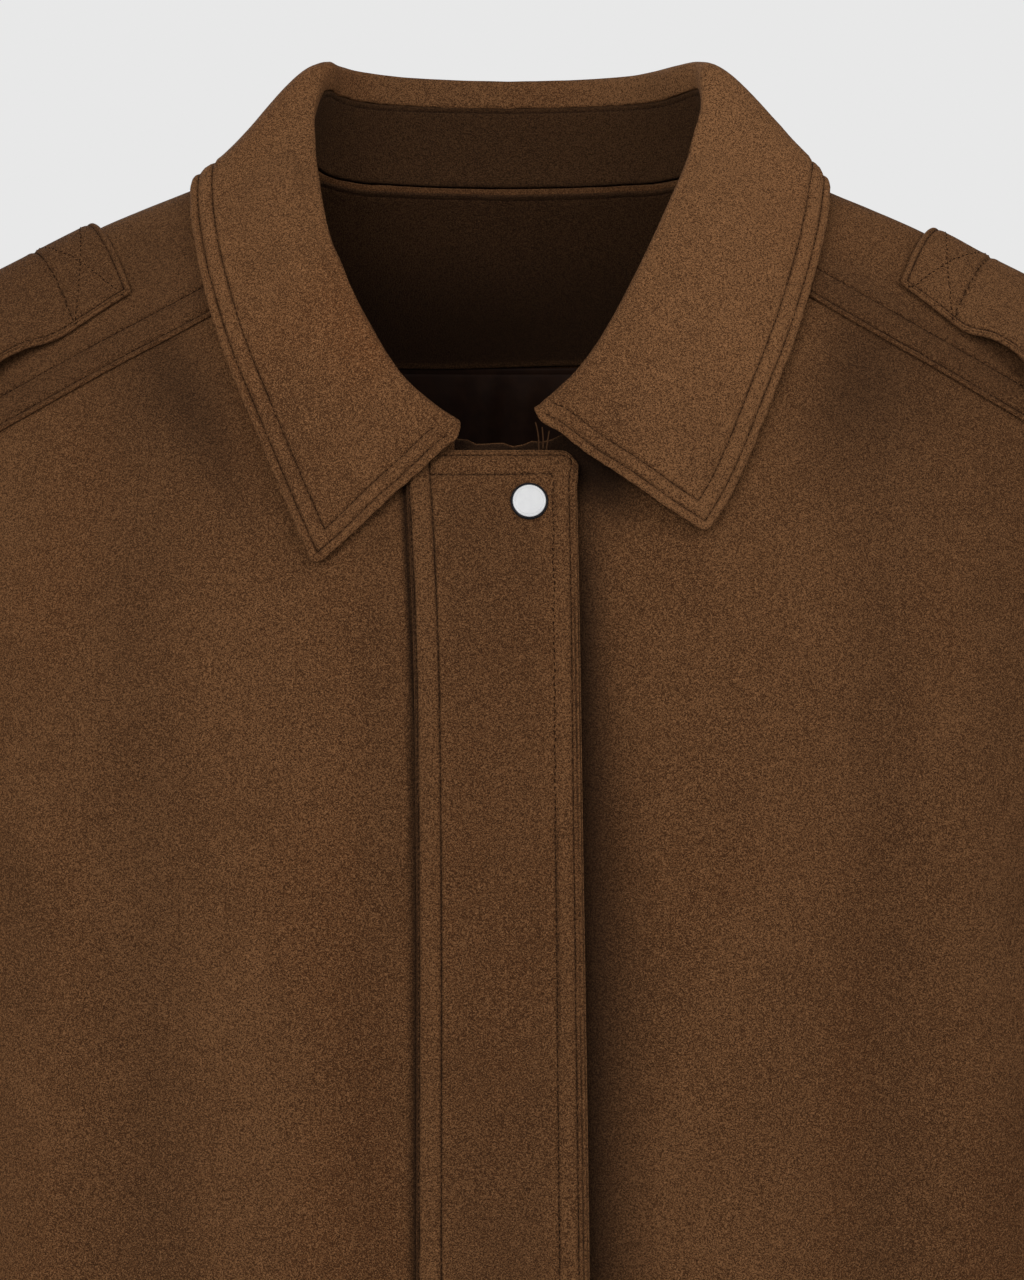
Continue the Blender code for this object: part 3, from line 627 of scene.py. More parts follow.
@dataclass
class Shell:
    """A piece of cloth: a grid of points on its middle surface, with a wall that is rounded at free edges."""

    name: str
    grid: Array
    wall: float
    outside: Array
    free: tuple[Edge, ...]
    closed: bool = False
    cells: Array | None = None
    normals: Array | None = None

    def __post_init__(self) -> None:
        """Set out the fields that the finishing steps add to."""
        shape = self.grid.shape[:2]
        if self.cells is None:
            columns = shape[1] if self.closed else shape[1] - 1
            self.cells = np.ones((shape[0] - 1, columns), bool)
        self.relief = np.zeros(shape)
        # painted shade
        self.shade = np.zeros(shape)
        # painted highlight, partly rubbed edges
        self.highlight_and_wear = np.zeros(shape)
        self.measure()

    def measure(self) -> None:
        """Measure the grid again after it has moved."""
        along, across = lengths_along(self.grid, 0), lengths_along(self.grid, 1)
        self.far = {
            Edge.FIRST_ROW: along,
            Edge.LAST_ROW: along[-1:] - along,
            Edge.FIRST_COLUMN: across,
            Edge.LAST_COLUMN: across[:, -1:] - across,
        }
        self.free_distance = np.full(self.grid.shape[:2], 1e3)
        for edge in self.free:
            self.free_distance = np.minimum(self.free_distance, self.far[edge])
        if self.normals is None or self.normals.shape != self.grid.shape:
            self.normals = grid_normals(self.grid, self.outside, self.closed)

    def move(self, out: Array) -> None:
        """Move the middle surface out.

        Args:
            out: How far, at each point.
        """
        self.grid = self.grid + self.normals * out[..., None]
        self.normals = None
        self.measure()

    def darken(self, amount: Array | float) -> None:
        """Paint shade: darken the cloth where it is paler than an amount."""
        self.shade = np.maximum(self.shade, amount)

    def trimmed(self, edge: Edge, start: float, end: float) -> Array:
        """Mask a line along an edge.

        Args:
            edge: The edge.
            start: Where the line begins.
            end: How far before the edge's other end it stops.

        Returns:
            1 along the line and 0 past its ends.
        """
        sides = (Edge.FIRST_ROW, Edge.LAST_ROW, Edge.FIRST_COLUMN, Edge.LAST_COLUMN)
        near, far = sides[:2] if edge in sides[2:] else sides[2:]
        begun = smoothstep(self.far[near], start - 0.6, start + 0.2)
        return begun * smoothstep(self.far[far], end - 0.6, end + 0.2)

    def groove(
        self, edge: Edge, at: float, depth: float = 0.45, width: float = 0.5,
        start: float = -9, end: float = -9, dark: float = 0.6,
    ) -> None:
        """Press a narrow groove along an edge.

        Args:
            edge: The edge that it follows.
            at: Its distance from that edge.
            depth: How deep it is.
            width: How wide its sides are.
            start: Where it begins along the edge.
            end: How far before the edge's other end it stops.
            dark: How much shade is painted in it.
        """
        mask = self.trimmed(edge, start, end)
        off = self.far[edge] - at
        varied = 1 + 0.35 * lumps(self.grid, 7.0, 11) + 0.2 * lumps(self.grid, 2.6, 12)
        self.relief -= depth * varied * mask * (bump_at(off, width) + 0.4 * bump_at(off, 3 * width))
        beside = bump_at(off - 4.4 * width, 2 * width) + bump_at(off + 4.4 * width, 2 * width)
        self.relief += 0.25 * depth * mask * beside
        # painted shade in the groove
        self.darken(dark * np.clip(varied, 0.3, 1.3) * mask * bump_at(off, width * 0.9))

    def round_corner(self, row_edge: Edge, column_edge: Edge, radius: float) -> None:
        """Round a corner of the piece.

        Args:
            row_edge: FIRST_ROW or LAST_ROW.
            column_edge: FIRST_COLUMN or LAST_COLUMN.
            radius: The corner's radius.
        """
        down, across = unit(np.gradient(self.grid, axis=0)), unit(np.gradient(self.grid, axis=1))
        down = down if row_edge == Edge.FIRST_ROW else -down
        across = across if column_edge == Edge.FIRST_COLUMN else -across
        u = np.clip(1 - self.far[row_edge] / radius, 0, 1)
        v = np.clip(1 - self.far[column_edge] / radius, 0, 1)
        shift_u = u * (1 - np.sqrt(1 - v * v / 2)) * radius
        shift_v = v * (1 - np.sqrt(1 - u * u / 2)) * radius
        self.grid = self.grid + down * shift_u[..., None] + across * shift_v[..., None]

    def rag(self, amount: float, size: float, seed: int) -> None:
        """Make the free edges slightly uneven, as cut suede is.

        Args:
            amount: How far they wander.
            size: How long each wander is.
            seed: Which wanders.
        """
        near = (1 - smoothstep(self.free_distance, 0.2, 2.6))[..., None]
        tangents = unit(np.gradient(self.grid, axis=0)), unit(np.gradient(self.grid, axis=1))
        wander = lumps(self.grid, size, seed)[..., None] * amount * near
        pairs = (Edge.FIRST_ROW, Edge.LAST_ROW), (Edge.FIRST_COLUMN, Edge.LAST_COLUMN)
        for tangent, edges in zip(tangents, pairs):
            first, last = (np.exp(-self.far[edge] / 2.0)[..., None] for edge in edges)
            self.grid = self.grid + tangent * wander * (last - first)

    def locate(self, row_place: float, column_place: float) -> tuple[float, float]:
        """Find a place on the grid.

        Args:
            row_place: Millimetres from the first row, or if negative from the last one.
            column_place: Millimetres from the first column, or if negative from the last one.

        Returns:
            The place as fractional row and column numbers.
        """
        rows, columns = self.grid.shape[:2]
        row, column = (0.0 if row_place >= 0 else rows - 1.0), (0.0 if column_place >= 0 else columns - 1.0)
        along, across = self.far[Edge.FIRST_ROW], self.far[Edge.FIRST_COLUMN]
        for _ in range(4):
            line = along[:, int(round(column))]
            want = row_place if row_place >= 0 else line[-1] + row_place
            row = float(np.interp(want, line, np.arange(rows)))
            line = across[int(round(row))]
            want = column_place if column_place >= 0 else line[-1] + column_place
            column = float(np.interp(want, line, np.arange(columns)))
        return row, column

    def crossing(self, edge: Edge, line: float, place: float) -> float:
        """Find where a line of the grid crosses a distance.

        Args:
            edge: FIRST_ROW to look along a column, or FIRST_COLUMN to look along a row.
            line: The fractional number of that column or row.
            place: Millimetres from the edge, or if negative from the opposite one.

        Returns:
            The fractional number of the row or column there.
        """
        far = self.far[edge].T if edge == Edge.FIRST_ROW else self.far[edge]
        low = min(int(line), len(far) - 2)
        wanted = [(place if place >= 0 else lengths[-1] + place, lengths) for lengths in far[low : low + 2]]
        first, second = (float(np.interp(want, lengths, np.arange(len(lengths)))) for want, lengths in wanted)
        return first + (second - first) * (line - low)

    def sample(self, values: Array, row: Array, column: Array) -> Array:
        """Read values between grid points.

        Args:
            values: A vector at each grid point.
            row: Fractional row numbers.
            column: Fractional column numbers.

        Returns:
            The vector at each place.
        """
        low_row = np.clip(np.floor(row).astype(int), 0, self.grid.shape[0] - 2)
        low_column = np.clip(np.floor(column).astype(int), 0, self.grid.shape[1] - 2)
        down, right = (row - low_row)[:, None], (column - low_column)[:, None]
        top = values[low_row, low_column] * (1 - right) + values[low_row, low_column + 1] * right
        low = values[low_row + 1, low_column] * (1 - right) + values[low_row + 1, low_column + 1] * right
        return top * (1 - down) + low * down

    def trace(self, *places: tuple[float, float]) -> Stitches:
        """Follow a line over the outer face.

        Args:
            places: Its corners, each as in locate.

        Returns:
            Points along the line and their normals.
        """
        corners = [self.locate(*place) for place in places]
        stops = []
        for first, last, start, end in zip(places, places[1:], corners, corners[1:]):
            shares = np.linspace(0, 1, max(8, int(np.hypot(end[0] - start[0], end[1] - start[1]) * 2)))
            rows, columns = (a + (b - a) * shares for a, b in zip(start, end))
            if first[1] == last[1]:
                stops += [(line, self.crossing(Edge.FIRST_COLUMN, line, first[1])) for line in rows]
            elif first[0] == last[0]:
                stops += [(self.crossing(Edge.FIRST_ROW, line, first[0]), line) for line in columns]
            else:
                for share in shares:
                    stops.append(self.locate(*(a + (b - a) * share for a, b in zip(first, last))))
        row, column = np.array(stops).T
        out = self.normals * (self.wall / 2 + self.relief)[..., None]
        points = self.sample(self.grid + out, row, column)
        return Stitches(points, unit(self.sample(self.normals, row, column)))

    def thickness(self) -> Array:
        """Return half of the wall at each point, rounded off towards the free edges."""
        reach = np.clip(self.free_distance / (self.wall * 0.62), 0, 1)
        return self.wall / 2 * np.sqrt(np.clip(1 - (1 - reach) ** 2, 0, 1))

    def build(self, material: Material) -> Piece:
        """Make the piece's mesh.

        Args:
            material: Its material.

        Returns:
            The new object.
        """
        half = self.thickness()
        ease = smoothstep(self.free_distance, 0, 0.9)
        outer = self.grid + self.normals * (half + self.relief * ease)[..., None]
        inner = self.grid - self.normals * half[..., None]
        numbers = np.arange(half.size).reshape(half.shape)
        inner_numbers = np.where(half < 1e-6, numbers, numbers + half.size)
        faces = [self.quads(numbers), self.quads(inner_numbers)[:, [0, 3, 2, 1]]]
        if not self.cells.all():
            faces.append(self.rim_faces(numbers, inner_numbers))
        faces = np.concatenate(faces)
        across, down = (self.grid[:, 1:2] - self.grid[:, :1])[:-1], np.diff(self.grid[:, :1], axis=0)
        if np.sum(np.cross(across, down) * self.normals[:-1, :1]) < 0:
            faces = faces[:, ::-1]
        none = np.zeros(half.size)
        # vertex fields for painted shade and for painted highlight with rubbed edges
        fields = {
            "painted_shade": np.concatenate([(self.shade * ease).ravel(), none]),
            "painted_highlight_and_wear": np.concatenate([self.highlight_and_wear.ravel(), none]),
            "inner_side": np.concatenate([none, none + 1]),
        }
        vertices = np.concatenate([outer, inner]).reshape(-1, 3) * MM
        return mesh_object(self.name, vertices, faces, material, fields)

    def quads(self, numbers: Array) -> Array:
        """List the faces of one side of the cloth.

        Args:
            numbers: The side's vertex numbers over the grid.

        Returns:
            Four vertex numbers for each cell that has cloth.
        """
        after = np.roll(numbers, -1, axis=1)
        corners = numbers[:-1], after[:-1], after[1:], numbers[1:]
        return np.stack([corner[:, : self.cells.shape[1]] for corner in corners], axis=-1)[self.cells]

    def rim_faces(self, numbers: Array, inner_numbers: Array) -> Array:
        """Close the wall along the edges of a gap in the grid.

        Args:
            numbers: The outer vertices.
            inner_numbers: The inner vertices.

        Returns:
            The faces between the two sides, where they don't meet already.
        """
        single: dict[tuple[int, int], tuple[int, int]] = {}
        for row, column in zip(*np.nonzero(self.cells)):
            ring = ((row, column), (row, column + 1), (row + 1, column + 1), (row + 1, column))
            for start, end in zip(ring, ring[1:] + ring[:1]):
                a, b = int(numbers[start]), int(numbers[end])
                if single.pop((b, a), None) is None:
                    single[(a, b)] = (int(inner_numbers[start]), int(inner_numbers[end]))
        return np.array([[b, a, *inner] for (a, b), inner in single.items() if inner != (a, b)])

def mesh_object(
    name: str, vertices: Array, faces: Array, material: Material, fields: dict[str, Array] | None = None
) -> Piece:
    """Make an object from vertices and four-sided faces.

    Args:
        name: Its name.
        vertices: Points in metres.
        faces: Vertex numbers. A number that stands twice in a row makes a triangle.
        material: Its material.
        fields: Values at each vertex, by attribute name.

    Returns:
        The new object, smooth and without loose vertices.
    """
    same = faces == np.roll(faces, -1, axis=1)
    lists = [
        [int(number) for number, drop in zip(face, gone) if not drop] if gone.any() else face.tolist()
        for face, gone in zip(faces, same)
    ]
    lists = [face for face in lists if len(set(face)) > 2]
    used = np.zeros(len(vertices), bool)
    for face in lists:
        used[face] = True
    renumber = np.cumsum(used) - 1
    lists = [[int(renumber[number]) for number in face] for face in lists]
    data = bpy.data.meshes.new(name)
    data.from_pydata(vertices[used].tolist(), [], lists)
    data.polygons.foreach_set("use_smooth", np.ones(len(data.polygons), bool))
    for key, values in (fields or {}).items():
        attribute = data.attributes.new(key, "FLOAT", "POINT")
        attribute.data.foreach_set("value", np.ascontiguousarray(values[used], np.float32))
    data.materials.append(material)
    data.update()
    piece = bpy.data.objects.new(name, data)
    bpy.context.scene.collection.objects.link(piece)
    return piece


# ---------------------------------------------------------------------------------------------- the finishes


def set_inputs(tree: Tree, node: bpy.types.Node, inputs: dict) -> None:
    """Set or wire a node's inputs.

    Args:
        tree: Its tree.
        node: The node.
        inputs: A value, or a socket to link from, for each input by name or number.
    """
    for key, value in inputs.items():
        if isinstance(value, Socket):
            tree.links.new(value, node.inputs[key])
        else:
            node.inputs[key].default_value = value


def add_node(tree: Tree, kind: str, inputs: dict | None = None, **settings: object) -> bpy.types.Node:
    """Add a node.

    Args:
        tree: Where it goes.
        kind: Its type.
        inputs: Its inputs, as in set_inputs.
        settings: Values of the node's own properties.

    Returns:
        The node.
    """
    node = tree.nodes.new(kind)
    for key, value in settings.items():
        setattr(node, key, value)
    set_inputs(tree, node, inputs or {})
    return node


def math_node(tree: Tree, operation: str, *values: object) -> Socket:
    """Return the result of a Math node on values or sockets."""
    return add_node(tree, "ShaderNodeMath", dict(enumerate(values)), operation=operation).outputs[0]


def ramp(tree: Tree, value: Socket, low: float, high: float) -> Socket:
    """Return a value eased from 0 at low to 1 at high."""
    inputs = {"Value": value, "From Min": low, "From Max": high}
    return add_node(tree, "ShaderNodeMapRange", inputs, interpolation_type="SMOOTHSTEP").outputs[0]


def blend(tree: Tree, share: object, first: object, second: object) -> Socket:
    """Return two colours mixed by a share."""
    return add_node(tree, "ShaderNodeMix", {0: share, 6: first, 7: second}, data_type="RGBA").outputs[2]


def noise(tree: Tree, place: Socket, size: float, **more: float) -> Socket:
    """Make a noise texture.

    Args:
        tree: Where it goes.
        place: The coordinates.
        size: The size of its lumps in millimetres.
        more: Further inputs, with names in small letters.

    Returns:
        The noise's value.
    """
    inputs = {key.capitalize(): value for key, value in more.items()}
    inputs |= {"Vector": place, "Scale": 1 / (size * MM)}
    return add_node(tree, "ShaderNodeTexNoise", inputs).outputs[0]


def start_material(name: str) -> tuple[Material, Tree, bpy.types.Node]:
    """Make a material to be wired.

    Args:
        name: Its name.

    Returns:
        The material, its tree and its Principled shader.
    """
    made = bpy.data.materials.new(name)
    made.use_nodes = True
    return made, made.node_tree, made.node_tree.nodes["Principled BSDF"]


def new_group(name: str, inputs: dict[str, object], outputs: dict[str, str]) -> Tree:
    """Make a shader node group with named sockets.

    Args:
        name: Its name.
        inputs: The default of each input: a number, or a colour of four numbers.
        outputs: The socket type of each output.

    Returns:
        The group, with its input and output nodes inside.
    """
    group = bpy.data.node_groups.new(name, "ShaderNodeTree")
    for key, value in inputs.items():
        kind = "NodeSocketColor" if isinstance(value, tuple) else "NodeSocketFloat"
        socket = group.interface.new_socket(key, in_out="INPUT", socket_type=kind)
        socket.default_value = value
    for key, kind in outputs.items():
        group.interface.new_socket(key, in_out="OUTPUT", socket_type=kind)
    group.nodes.new("NodeGroupInput")
    group.nodes.new("NodeGroupOutput")
    return group


class NapGroup:
    """The node group for brushed suede: its fibres, clumps of nap, brushed patches, painted shade, and
    painted highlight mixed with rubbed edges.
    """

    NAME = "suede_nap"
    # near-black colour that the painted shade mixes towards
    SHADE_COLOR = (0.008, 0.0034, 0.0018, 1.0)
    HANG = (1.0, 1.0, 0.42)  # broad patches are drawn out downwards

    @classmethod
    def get(cls) -> Tree:
        """Return the group, made once."""
        return bpy.data.node_groups.get(cls.NAME) or cls.make()

    @classmethod
    def make(cls) -> Tree:
        """Make the group.

        Returns:
            A group whose outputs are the nap's colour, with painted shade and painted highlight mixed in, and
            its height.
        """
        inputs = dict.fromkeys(("Ground", "Raised", "Deep", "Warm"), (0.0, 0.0, 0.0, 1.0))
        inputs |= {"Painted Shade": 0.0, "Painted Highlight And Wear": 0.0, "Inner Side": 0.0, "Patches": 1.0}
        tree = new_group(cls.NAME, inputs, {"Color": "NodeSocketColor", "Height": "NodeSocketFloat"})
        given = tree.nodes["Group Input"].outputs
        place = add_node(tree, "ShaderNodeTexCoord").outputs["Object"]
        stretch = add_node(tree, "ShaderNodeVectorMath", {0: place, 1: cls.HANG}, operation="MULTIPLY")
        hanging = stretch.outputs[0]

        curls = noise(tree, place, 0.92, detail=1.5, roughness=0.5, distortion=2.0)
        flecks = noise(tree, place, 0.56, detail=1.0, roughness=0.5, distortion=0.7)
        clumps = noise(tree, place, 3.6, detail=1.5, roughness=0.5, distortion=0.4)
        broad = noise(tree, hanging, 62.0, detail=2.0, roughness=0.55, distortion=0.6)
        brushed = noise(tree, place, 19.0, detail=2.5, roughness=0.6, distortion=1.1)
        warmth = noise(tree, hanging, 95.0, detail=1.0, roughness=0.5, distortion=0.4)
        fibre = math_node(tree, "MULTIPLY_ADD", curls, 0.38, math_node(tree, "MULTIPLY", flecks, 0.62))
        patch = math_node(tree, "MULTIPLY_ADD", brushed, 0.35, math_node(tree, "MULTIPLY", broad, 0.65))
        patches = (
            math_node(tree, "MULTIPLY", ramp(tree, value, low, high), given["Patches"])
            for value, low, high in ((patch, 0.47, 0.66), (patch, 0.53, 0.34), (warmth, 0.46, 0.64))
        )
        light, dark, warm = patches

        color, raised, deep = given["Ground"], given["Raised"], given["Deep"]
        for share, strength, over in (
            (light, 0.3, raised),
            (dark, 0.3, deep),
            (warm, 0.5, given["Warm"]),
            # painted highlight, partly rubbed edges
            (given["Painted Highlight And Wear"], 0.62, raised),
            (ramp(tree, fibre, 0.5, 0.59), 0.92, raised),
            (ramp(tree, fibre, 0.5, 0.42), 0.92, deep),
            # painted shade
            (given["Painted Shade"], 0.93, cls.SHADE_COLOR),
            (given["Inner Side"], 0.35, deep),
        ):
            color = blend(tree, math_node(tree, "MULTIPLY", share, strength), color, over)
        height = math_node(tree, "MULTIPLY_ADD", clumps, 0.2, fibre)
        set_inputs(tree, tree.nodes["Group Output"], {"Color": color, "Height": height})
        return tree


@dataclass(frozen=True)
class SuedeFinish:
    """Brushed suede in one shade of brown."""

    name: str
    # scales every colour: the suede's own brightness, with painted light for the collar and painted shade for
    # the stand and facing
    tone: float = 1.0
    ground: Row = (0.101, 0.0430, 0.0160)
    raised: Row = (0.182, 0.0850, 0.0350)
    deep: Row = (0.037, 0.0144, 0.0052)
    warm: Row = (0.094, 0.0340, 0.0108)
    patches: float = 1.0
    roughness: float = 0.92
    sheen: float = 0.06
    depth: float = 2.6

    def tinted(self, color: Row) -> Row:
        """Return a colour scaled by this piece's factor, which for some pieces is painted light and for
        others painted shade.
        """
        return tuple(part * self.tone for part in color) + (1.0,)

    def material(self) -> Material:
        """Make the material.

        Returns:
            The material, whose colour and bump come from the nap group.
        """
        made, tree, shader = start_material(self.name)
        inputs = {"Patches": self.patches}
        for key in ("Ground", "Raised", "Deep", "Warm"):
            inputs[key] = self.tinted(getattr(self, key.lower()))
        for key in ("Painted Shade", "Painted Highlight And Wear", "Inner Side"):
            name = key.lower().replace(" ", "_")
            source = add_node(tree, "ShaderNodeAttribute", attribute_name=name, attribute_type="GEOMETRY")
            inputs[key] = source.outputs["Fac"]
        nap = add_node(tree, "ShaderNodeGroup", node_tree=NapGroup.get())
        set_inputs(tree, nap, inputs)
        height = {"Height": nap.outputs["Height"], "Strength": 1.0, "Distance": self.depth * MM}
        set_inputs(tree, shader, {
            "Base Color": nap.outputs["Color"],
            "Normal": add_node(tree, "ShaderNodeBump", height).outputs[0],
            "Roughness": self.roughness,
            "Specular IOR Level": 0.06,
            "Sheen Weight": self.sheen,
            "Sheen Roughness": 0.45,
            "Sheen Tint": (0.7, 0.36, 0.16, 1),
        })
        return made


@dataclass(frozen=True)
class LiningFinish:
    """Dark lining cloth with a fine diagonal weave."""

    name: str = "dark_lining"
    color: Row = (0.0080, 0.0028, 0.0012)
    lift: Row = (0.014, 0.0052, 0.0022)
    rib: float = 0.9

    def material(self) -> Material:
        """Make the material.

        Returns:
            The material, with ribs and soft slubs.
        """
        made, tree, shader = start_material(self.name)
        place = add_node(tree, "ShaderNodeTexCoord").outputs["Object"]
        tilt = (0.0, 0.8, 0.0)
        turned = add_node(tree, "ShaderNodeMapping", {"Vector": place, "Rotation": tilt}).outputs[0]
        weave = {"Vector": turned, "Scale": 0.314 / (self.rib * MM)}
        ribs = add_node(tree, "ShaderNodeTexWave", weave).outputs["Fac"]
        slubs = noise(tree, place, 6.0, detail=2.0, roughness=0.6)
        color = blend(tree, ramp(tree, slubs, 0.3, 0.75), self.color + (1.0,), self.lift + (1.0,))
        height = {"Height": ribs, "Strength": 0.5, "Distance": 0.1 * MM}
        set_inputs(tree, shader, {
            "Base Color": blend(tree, math_node(tree, "MULTIPLY", ribs, 0.3), color, self.lift + (1.0,)),
            "Normal": add_node(tree, "ShaderNodeBump", height).outputs[0],
            "Roughness": 0.7,
            "Specular IOR Level": 0.08,
        })
        return made


@dataclass(frozen=True)
class HardFinish:
    """Enamel, steel or thread: one colour with small uneven marks."""

    name: str
    color: Row
    mark: Row
    size: float
    roughness: float
    metallic: float = 0.0
    coat: float = 0.0
    specular: float = 0.5
    bump: float = 0.02

    def material(self) -> Material:
        """Make the material.

        Returns:
            The material, with its marks in colour, gloss and bump.
        """
        made, tree, shader = start_material(self.name)
        place = add_node(tree, "ShaderNodeTexCoord").outputs["Object"]
        marks = noise(tree, place, self.size, detail=3.0, roughness=0.6)
        gloss = {"Value": marks, "To Min": self.roughness * 0.85, "To Max": self.roughness * 1.15}
        height = {"Height": marks, "Strength": 0.6, "Distance": self.bump * MM}
        set_inputs(tree, shader, {
            "Base Color": blend(tree, ramp(tree, marks, 0.35, 0.7), self.color + (1.0,), self.mark + (1.0,)),
            "Roughness": add_node(tree, "ShaderNodeMapRange", gloss).outputs[0],
            "Normal": add_node(tree, "ShaderNodeBump", height).outputs[0],
            "Metallic": self.metallic,
            "Coat Weight": self.coat,
            "Specular IOR Level": self.specular,
        })
        return made


@dataclass(frozen=True)
class Finishes:
    """The jacket's materials, each made once."""

    body: SuedeFinish = SuedeFinish("suede_body", tone=1.10)
    # a lighter copy of the suede: painted light on the collar's upturned faces
    collar: SuedeFinish = SuedeFinish("suede_collar", tone=1.40, patches=1.8)
    # darker copies of the suede: painted shade inside the neck
    stand: SuedeFinish = SuedeFinish("suede_stand", tone=0.34, patches=0.5)
    facing: SuedeFinish = SuedeFinish("suede_facing", tone=0.36, patches=0.5)
    placket: SuedeFinish = SuedeFinish("suede_placket", tone=1.07, patches=0.8)
    lining: LiningFinish = LiningFinish()
    thread: HardFinish = HardFinish(
        "dark_thread", (0.010, 0.0042, 0.002), (0.022, 0.0098, 0.0045), 0.5, 0.9, specular=0.03
    )
    loose: HardFinish = HardFinish(
        "loose_thread", (0.028, 0.0125, 0.0055), (0.045, 0.021, 0.009), 0.6, 0.9, specular=0.03
    )
    white: HardFinish = HardFinish(
        "white_enamel", (0.485, 0.485, 0.485), (0.465, 0.465, 0.47), 2.5, 0.45, coat=0.1
    )
    steel: HardFinish = HardFinish(
        "dark_steel", (0.006, 0.006, 0.007), (0.014, 0.014, 0.016), 1.2, 0.55, metallic=0.5, specular=0.12
    )

    def use(self, finish: SuedeFinish | LiningFinish | HardFinish) -> Material:
        """Return a finish's material."""
        return bpy.data.materials.get(finish.name) or finish.material()


# ------------------------------------------------------------------------------------------ rows of stitches


@dataclass(frozen=True)
class Thread:
    """How a row of stitches is sewn."""

    pitch: float = 2.8
    length: float = 1.9
    radius: float = 0.28
    sunk: float = -0.02
    wander: float = 0.15


@dataclass
class Seamwork:
    """All the stitches of one sub-assembly, made as one piece."""

    name: str
    seed: int
    rows: list[tuple[Stitches, Thread]] = field(default_factory=list)
    sides: int = 5
    rings: tuple[tuple[float, float], ...] = ((-0.72, 0.78), (0.0, 1.0), (0.72, 0.78))
    arch: float = 0.55  # how far a stitch's ends dip below its middle

    def add(self, row: Stitches, thread: Thread = Thread()) -> None:
        """Sew a row."""
        self.rows.append((row, thread))

    def template(self) -> tuple[Array, Array]:
        """Shape one stitch.

        Returns:
            Points as along, across and up, in half lengths and radii, and the faces.
        """
        turn = np.arange(self.sides) * 2 * math.pi / self.sides
        points = [(-1.0, 0.0, -self.arch)]
        for along, radius in self.rings:
            drop = self.arch * along**2
            points += [(along, radius * math.cos(a), radius * math.sin(a) - drop) for a in turn]
        points.append((1.0, 0.0, -self.arch))
        faces = []
        last = len(points) - 1
        for side in range(self.sides):
            after = (side + 1) % self.sides
            faces.append((0, 0, 1 + after, 1 + side))
            for ring in range(len(self.rings) - 1):
                base, above = 1 + ring * self.sides, 1 + (ring + 1) * self.sides
                faces.append((base + side, base + after, above + after, above + side))
            base = 1 + (len(self.rings) - 1) * self.sides
            faces.append((base + side, base + after, last, last))
        return np.array(points), np.array(faces)

    def build(self, material: Material) -> Piece:
        """Make every stitch.

        Args:
            material: The thread's material.

        Returns:
            The new object.
        """
        shape, shape_faces = self.template()
        rng = np.random.default_rng(self.seed)
        vertices, faces, count = [], [], 0
        for row, thread in self.rows:
            far = lengths_along(row.points, 0)
            number = max(1, int(far[-1] / thread.pitch))
            centres = (np.arange(number) + 0.5) * far[-1] / number
            ahead = read_line(np.minimum(centres + thread.length / 2, far[-1]), far, row.points)
            behind = read_line(np.maximum(centres - thread.length / 2, 0), far, row.points)
            along = unit(ahead - behind)
            up = unit(read_line(centres, far, row.normals))
            across = unit(np.cross(up, along))
            along = unit(along + across * rng.normal(0, 0.06, (number, 1)))
            wander = across * rng.normal(0, thread.wander, (number, 1))
            middle = read_line(centres, far, row.points) + wander - up * thread.sunk
            length = thread.length / 2 * rng.uniform(0.86, 1.1, (number, 1, 1))
            size = thread.radius * rng.uniform(0.85, 1.15, (number, 1, 1))
            points = (
                middle[:, None]
                + along[:, None] * shape[None, :, :1] * length
                + across[:, None] * shape[None, :, 1:2] * size
                + up[:, None] * shape[None, :, 2:] * size
            )
            vertices.append(points.reshape(-1, 3))
            starts = count + np.arange(number)[:, None, None] * len(shape)
            faces.append((shape_faces[None] + starts).reshape(-1, 4))
            count += number * len(shape)
        return mesh_object(self.name, np.concatenate(vertices) * MM, np.concatenate(faces), material)


def claim(piece: Piece, slot: Slot, *nodes: str) -> Piece:
    """Attach a piece to its body, hide the nodes that it stands for and log its triangles.

    Args:
        piece: The object.
        slot: Not used.
        nodes: The CAD nodes that it replaces.

    Returns:
        The same object.
    """
    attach(piece, BODY_NAME)
    if nodes:
        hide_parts(*nodes)
    LOG.info("%s: %d triangles", piece.name, sum(len(face.vertices) - 2 for face in piece.data.polygons))
    return piece


# ----------------------------------------------------------------------------------------- the jacket's body


@dataclass(frozen=True)
class Band:
    """A broad vertical band or blot of painted shade (amount above 0) or painted light (below 0)."""

    x: float
    half_width: float
    amount: float
    z: float = -400.0
    half_height: float = 1e4
    lean: float = 0.0

    def tone(self, points: Array) -> Array:
        """Read the band's amount.

        Args:
            points: Points on the cloth.

        Returns:
            The amount at each, with a wandering edge.
        """
        wander = 0.25 * self.half_width * lumps(points, 70, 61)
        x, z = points[..., 0] - self.x + wander, points[..., 2] - self.z
        return self.amount * bump_at(x - self.lean * z, self.half_width) * bump_at(z, self.half_height)


